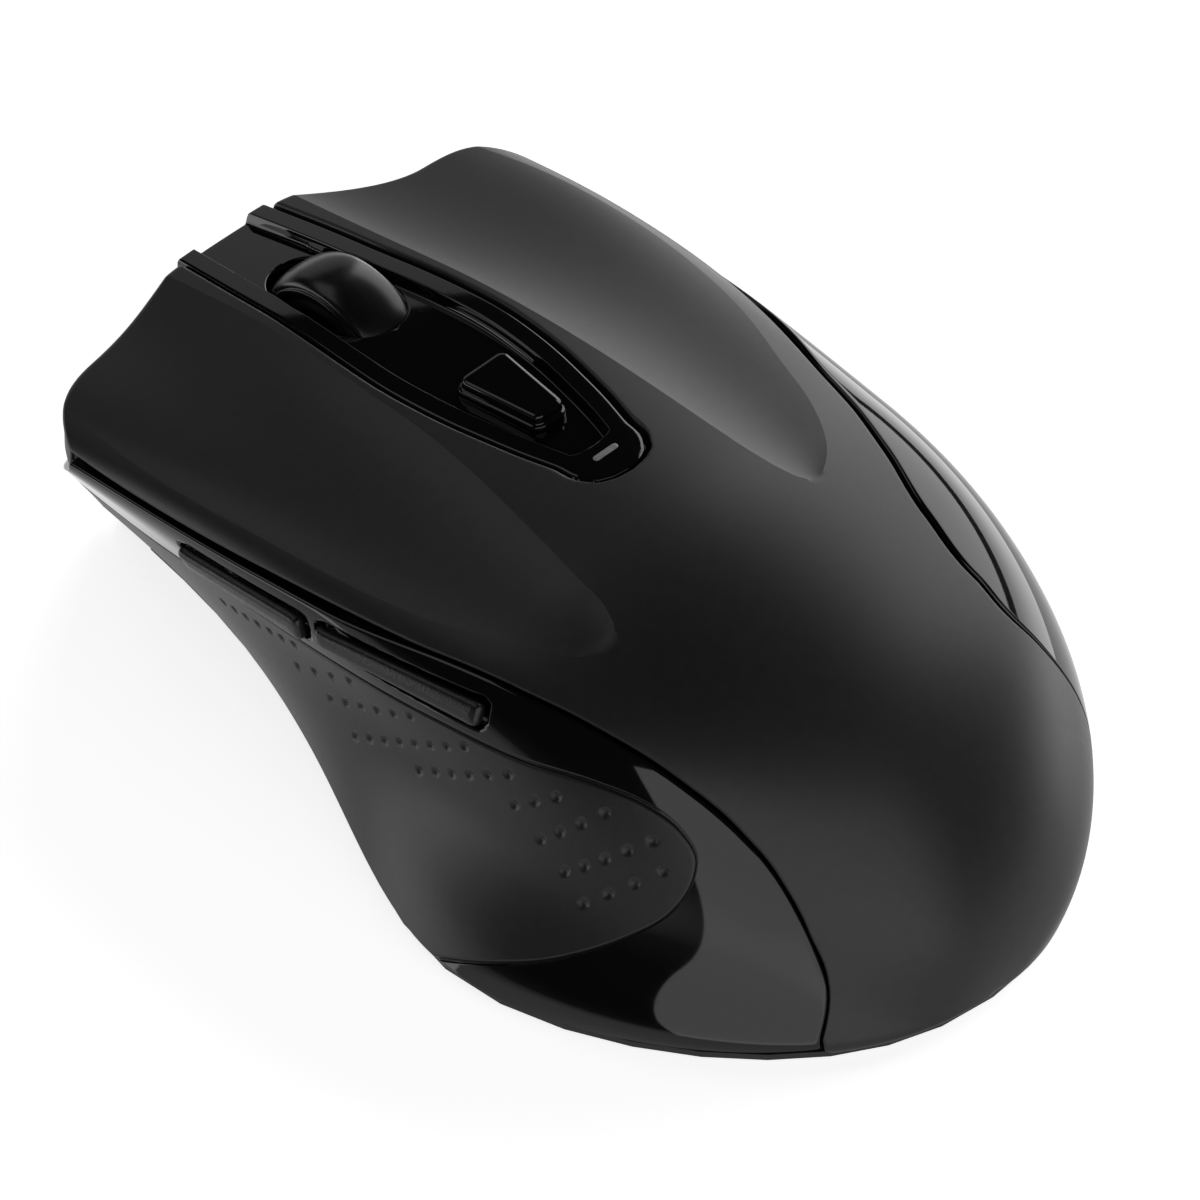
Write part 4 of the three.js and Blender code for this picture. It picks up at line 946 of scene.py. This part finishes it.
for made, node, finish in (
    (left_panel(), "left_side_panel", "gloss_black"),
    (right_panel(), "right_side_panel", "gloss_black"),
    (thumb_grip(), "thumb_grip", "grip_rubber"),
):
    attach(made, "case")
    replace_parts(made, node)
fascia = nose_fascia()
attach(fascia, "case")
for key_name in SIDE_KEYS:
    side_key(key_name)


# ---------------- centre console, DPI key and status window
def channel_half(y):
    share = np.clip((y - CHANNEL_REAR_Y) / CHANNEL_END["length"], 0, 1)
    opening = CHANNEL_END["half_width"] * (1 - (1 - share) ** 2.6) ** (1 / 2.6)
    return np.minimum(smooth(CONSOLE_HALF, y) - CHANNEL_RAIL, opening + 9 * (share >= 1))


def oval_half(y, middle, half_length, half_width, power):
    share = np.clip(np.abs(y - middle) / half_length, 0, 1)
    return half_width * (1 - share**power) ** (1 / power)


def console():
    ends = SLOT["y"] - SLOT["half_length"], SLOT["y"] + SLOT["half_length"]
    ys = np.unique(np.round(np.concatenate([
        CONSOLE_TIP_Y + 1.8 * np.linspace(0, 1, 26) ** 2,
        np.linspace(-1, 5, 50),
        np.linspace(5.2, ends[0] - 0.2, 90),
        ends[0] + (ends[1] - ends[0]) * eased(90),
        np.linspace(ends[1] + 0.2, NOSE_Y + 0.35, 40),
        NOSE_Y + 0.6 - 0.25 * (1 - np.linspace(0, 1, 7)) ** 2,
    ]), 4))
    edge = smooth(CONSOLE_HALF, ys)
    hole = oval_half(ys, SLOT["y"], SLOT["half_length"], SLOT["half_width"], SLOT["power"])
    chan = np.clip(channel_half(ys), hole + 0.05, edge)
    chan = np.where(ys < CHANNEL_REAR_Y, 0, chan)
    x = np.concatenate([
        between(hole, chan, eased(26)),
        between(chan, edge, eased(26))[:, 1:],
    ], 1)
    y = np.broadcast_to(ys[:, None], x.shape)
    rounded_end = CHANNEL_REAR_Y + 2 * np.linspace(0, 1, 30) ** 2
    channel_ys = np.concatenate([rounded_end, np.linspace(4.2, NOSE_Y + 3, 80)])
    line = np.column_stack([channel_half(channel_ys), channel_ys])
    plan = np.stack([x, y], -1)
    apart = distance_to(plan, line)
    apart = np.where((x < channel_half(y)) & (y > CHANNEL_REAR_Y), apart, -apart)
    floor = CHANNEL_DEPTH * smoothstep(apart, -0.1, 0.42)
    from_edge = distance_to(plan, CONSOLE_LINE)
    from_hole = np.where(hole[:, None] > 0, x - hole[:, None], 9)
    from_front = NOSE_Y + 0.6 - y
    depth = CONSOLE_DROP + floor + rolled(from_edge, 0.3) + rolled(from_front, 0.3)
    depth += rolled(np.maximum(from_hole, 0), 0.35)
    rows, columns = x.shape
    size = rows * columns
    points, faces = [], []
    for start, side in ((0, -1), (2 * size, 1)):
        turned = side < 0
        crown = crown_z(side * x, y)
        for z in (crown - depth, crown - CONSOLE_DROP - CONSOLE_THICK):
            points.append(np.stack([side * x, y, z], -1).reshape(-1, 3))
        faces.append(grid_faces(rows, columns, start, turned))
        faces.append(grid_faces(rows, columns, start + size, not turned))
        k = np.arange(rows - 1) * columns
        outer = k + columns - 1 + start
        wall = np.stack([outer, outer + columns, outer + columns + size, outer + size], -1)
        open_row = (hole[:-1] > 0) | (hole[1:] > 0)
        inner = (k + start)[open_row]
        bore = np.stack([inner + columns, inner, inner + size, inner + columns + size], -1)
        last = (rows - 1) * columns + start + np.arange(columns - 1)
        front = np.stack([last + 1, last, last + size, last + 1 + size], -1)
        for group in (wall, bore, front):
            faces.append(group[:, ::-1] if not turned else group)
    slab = add_mesh("console_slab", np.concatenate(points), np.concatenate(faces), CONSOLE_GLOSS)
    weld(slab)
    return slab


def weld(thing, distance=2e-7):
    """Joins vertices that lie on each other and drops faces that have shrunk to nothing."""
    work = bmesh.new()
    work.from_mesh(thing.data)
    bmesh.ops.remove_doubles(work, verts=work.verts, dist=distance)
    bmesh.ops.dissolve_degenerate(work, edges=work.edges, dist=distance)
    bmesh.ops.recalc_face_normals(work, faces=work.faces)
    work.to_mesh(thing.data)
    work.free()


def rounded_outline(corners, radius, steps=10):
    """A closed outline with its corners rounded by arcs, anticlockwise."""
    points = []
    corners = [np.array(c, float) for c in corners]
    for before, here, after in zip(corners[-1:] + corners[:-1], corners, corners[1:] + corners[:1]):
        a, b = unit(before - here), unit(after - here)
        half = math.acos(float(np.clip(a @ b, -1, 1))) / 2
        centre = here + unit(a + b) * radius / math.sin(half)
        start = here + a * radius / math.tan(half) - centre
        end = here + b * radius / math.tan(half) - centre
        swing = math.atan2(start[0] * end[1] - start[1] * end[0], start @ end)
        for share in np.linspace(0, 1, steps):
            c, s = math.cos(swing * share), math.sin(swing * share)
            points.append(centre + (c * start[0] - s * start[1], s * start[0] + c * start[1]))
    return np.array(points)


def dpi_key():
    corners = [
        (-DPI["rear_half"], DPI["rear"]), (DPI["rear_half"], DPI["rear"]),
        (DPI["front_half"], DPI["front"]), (-DPI["front_half"], DPI["front"]),
    ]
    profile = [(-0.35, -3.2), (-0.35, -0.9), (-0.33, -0.75), (-0.25, -0.62), (-0.12, -0.58), (0.0, -0.5),
               (0.02, -0.3), (0.02, 0.1), (0.06, 0.28), (0.15, 0.41), (0.28, 0.48), (0.5, 0.5)]
    return ring_solid("dpi_key", rounded_outline(corners, 0.9), profile, crown_z, CONSOLE_GLOSS)


def status_window():
    half_length, half_width = LED["half_length"], LED["half_width"]
    low, high = LED["y"] - half_width, LED["y"] + half_width
    corners = [(-half_length, low), (half_length, low), (half_length, high), (-half_length, high)]
    profile = [(0, -2.5), (0, -0.3), (0.03, -0.22), (0.1, -0.18), (0.2, -0.16)]
    return ring_solid("status_window", rounded_outline(corners, half_width - 0.02), profile, crown_z, WINDOW)


for made, body, node, finish in (
    (console(), "case", "center_console", "gloss_black"),
    (dpi_key(), "dpi_button", "dpi_button", "gloss_black"),
    (status_window(), "case", "led_window", "smoked_window"),
):
    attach(made, body)
    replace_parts(made, node)


# ---------------- scroll wheel
def wheel_tyre():
    """A barrel-shaped tyre with round shoulders and a thin rim line on each side."""
    half, radius, bore = WHEEL["half_width"], WHEEL["radius"], WHEEL["bore"]
    shoulder = [(radius - 1.05 * (1 - math.sqrt(max(1 - abs(s) ** 2.2, 0))), 0.93 * half * s)
                for s in np.sin(np.linspace(-math.pi / 2, math.pi / 2, 61))]
    rim = [(radius - 1.2, 0.93 * half), (radius - 1.25, 0.955 * half), (radius - 1.2, 0.985 * half),
           (radius - 1.3, half), (radius - 1.6, half), (radius - 1.75, 0.95 * half)]
    left_rim = [(r, -x) for r, x in reversed(rim)]
    profile = [(bore, -0.9 * half), *left_rim, *shoulder, *rim, (bore, 0.9 * half)]
    return lathe_x("tyre", profile, (0, WHEEL["y"], WHEEL["z"]), WHEEL_RUBBER)


tyre = wheel_tyre()
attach(tyre, "wheel")
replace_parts(tyre, "wheel_tyre")

# ---------------- CAD pieces that stay, with their finishes
FINISHES = {
    "base_plastic": BASE_PLASTIC, "key_plastic": KEY_PLASTIC, "glide": GLIDE, "bright_steel": STEEL,
    "battery_sleeve": SLEEVE, "circuit_board": BOARD, "inner_plastic": INNER_PLASTIC, "clear_lens": LENS,
    "smoked_window": WINDOW, "wheel_rubber": WHEEL_RUBBER, "grip_rubber": GRIP_RUBBER,
    "gloss_black": PANEL_GLOSS, "soft_touch": SOFT_TOUCH,
}
SOFT_EDGES = ("base_shell", "battery_door", "power_switch", "receiver_shell",
              "foot_front_left", "foot_front_right", "foot_rear_left", "foot_rear_right")
SOFT_EDGE_WIDTH = 0.00015  # metres
slots = {entry["node"]: entry["material_slot"] for entry in frame["record"]["subparts"]}
for node_name, node in frame["nodes"].items():
    finish = FINISHES[slots[node_name]]
    if node.data.materials:
        node.data.materials[0] = finish
    else:
        node.data.materials.append(finish)
    if node_name in SOFT_EDGES:
        bevel = node.modifiers.new("soft_edges", "BEVEL")
        bevel.width = SOFT_EDGE_WIDTH
        bevel.segments = 2
        bevel.limit_method = "ANGLE"


# ---------------- floor, light and camera
def direction(azimuth, elevation):
    """Unit vector out from the object; azimuth 0 is towards -Y, and it grows anticlockwise from above."""
    a, e = math.radians(azimuth), math.radians(elevation)
    return Vector((math.sin(a) * math.cos(e), -math.cos(a) * math.cos(e), math.sin(e)))


def softbox(name, azimuth, elevation, width, height, radiance):
    """A rectangular soft light that spans width by height degrees as seen from the object."""
    data = bpy.data.lights.new(name, "AREA")
    data.shape = "RECTANGLE"
    data.size = 2 * SOFTBOX_DISTANCE * math.tan(math.radians(width / 2))
    data.size_y = 2 * SOFTBOX_DISTANCE * math.tan(math.radians(height / 2))
    data.energy = 4 * data.size * data.size_y * radiance
    light = add_object(name, data)
    towards = direction(azimuth, elevation)
    light.location = towards * SOFTBOX_DISTANCE + Vector((0, 0, 0.02))
    light.rotation_euler = towards.to_track_quat("Z", "Y").to_euler()
    light.visible_camera = False


def pale_floor():
    rings = [0.3, 1.0, FLOOR_REACH]
    mesh = bpy.data.meshes.new("floor")
    corners = [(sx * r, sy * r, 0.0) for r in rings for sx, sy in ((-1, -1), (1, -1), (1, 1), (-1, 1))]
    faces = [(0, 1, 2, 3)]
    for level in range(len(rings) - 1):
        a = level * 4
        faces += [(a + k, a + (k + 1) % 4, a + 4 + (k + 1) % 4, a + 4 + k)[::-1] for k in range(4)]
    mesh.from_pydata(corners, [], faces)
    floor = add_object("floor", mesh)
    look = Look("floor_paper")
    look.colours(look.noise(3), colour_of(0.93), colour_of(0.95))
    look.roughness(look.noise(8), 0.8, 0.95)
    look.set(emission_color=(1, 1, 1, 1), emission_strength=FLOOR_GLOW)
    mesh.materials.append(look.material)
    floor.visible_glossy = False


def surroundings():
    """A dim studio with a pale ground, brighter behind the mouse's right side."""
    world = bpy.data.worlds.new("studio")
    bpy.context.scene.world = world
    world.use_nodes = True
    tree = world.node_tree
    link = tree.links.new
    background = tree.nodes["Background"]
    place = tree.nodes.new("ShaderNodeTexCoord").outputs["Generated"]
    height = tree.nodes.new("ShaderNodeSeparateXYZ")
    link(place, height.inputs["Vector"])
    ramp = tree.nodes.new("ShaderNodeValToRGB")
    stops = ramp.color_ramp.elements
    while len(stops) < len(WORLD_RAMP):
        stops.new(0.5)
    for stop, (position, grey) in zip(stops, WORLD_RAMP):
        stop.position = position
        stop.color = colour_of(grey)
    stretch = add_node(tree, "ShaderNodeMapRange", From_Min=-1)
    link(height.outputs["Z"], stretch.inputs["Value"])
    link(stretch.outputs["Result"], ramp.inputs["Fac"])
    lit_side = tree.nodes.new("ShaderNodeVectorMath")
    lit_side.operation = "DOT_PRODUCT"
    lit_side.inputs[1].default_value = direction(LIT_SIDE["azimuth"], LIT_SIDE["elevation"])
    link(place, lit_side.inputs[0])
    limits = {"From_Min": LIT_SIDE["cosine"], "To_Min": 1, "To_Max": LIT_SIDE["boost"]}
    boost = add_node(tree, "ShaderNodeMapRange", **limits)
    link(lit_side.outputs["Value"], boost.inputs["Value"])
    link(ramp.outputs["Color"], background.inputs["Color"])
    link(boost.outputs["Result"], background.inputs["Strength"])


def camera():
    data = bpy.data.cameras.new("camera")
    data.sensor_width = CAMERA["sensor_mm"]
    data.lens = data.sensor_width * CAMERA["distance"] / FRAME_WIDTH
    data.clip_end = 20
    towards = direction(CAMERA["azimuth"], CAMERA["elevation"])
    azimuth = math.radians(CAMERA["azimuth"])
    sideways = Vector((math.cos(azimuth), math.sin(azimuth), 0))
    upwards = towards.cross(sideways)
    aim = Vector(to_frame(CAMERA_AIM["point"])) - CAMERA_AIM["left"] * sideways - CAMERA_AIM["down"] * upwards
    thing = add_object("camera", data)
    thing.location = aim + towards * CAMERA["distance"]
    thing.rotation_euler = towards.to_track_quat("Z", "Y").to_euler()
    bpy.context.scene.camera = thing


camera()
pale_floor()
surroundings()
for box in SOFTBOXES:
    softbox(*box)
bpy.context.scene.view_settings.view_transform = "Standard"
bpy.context.scene.view_settings.look = "None"
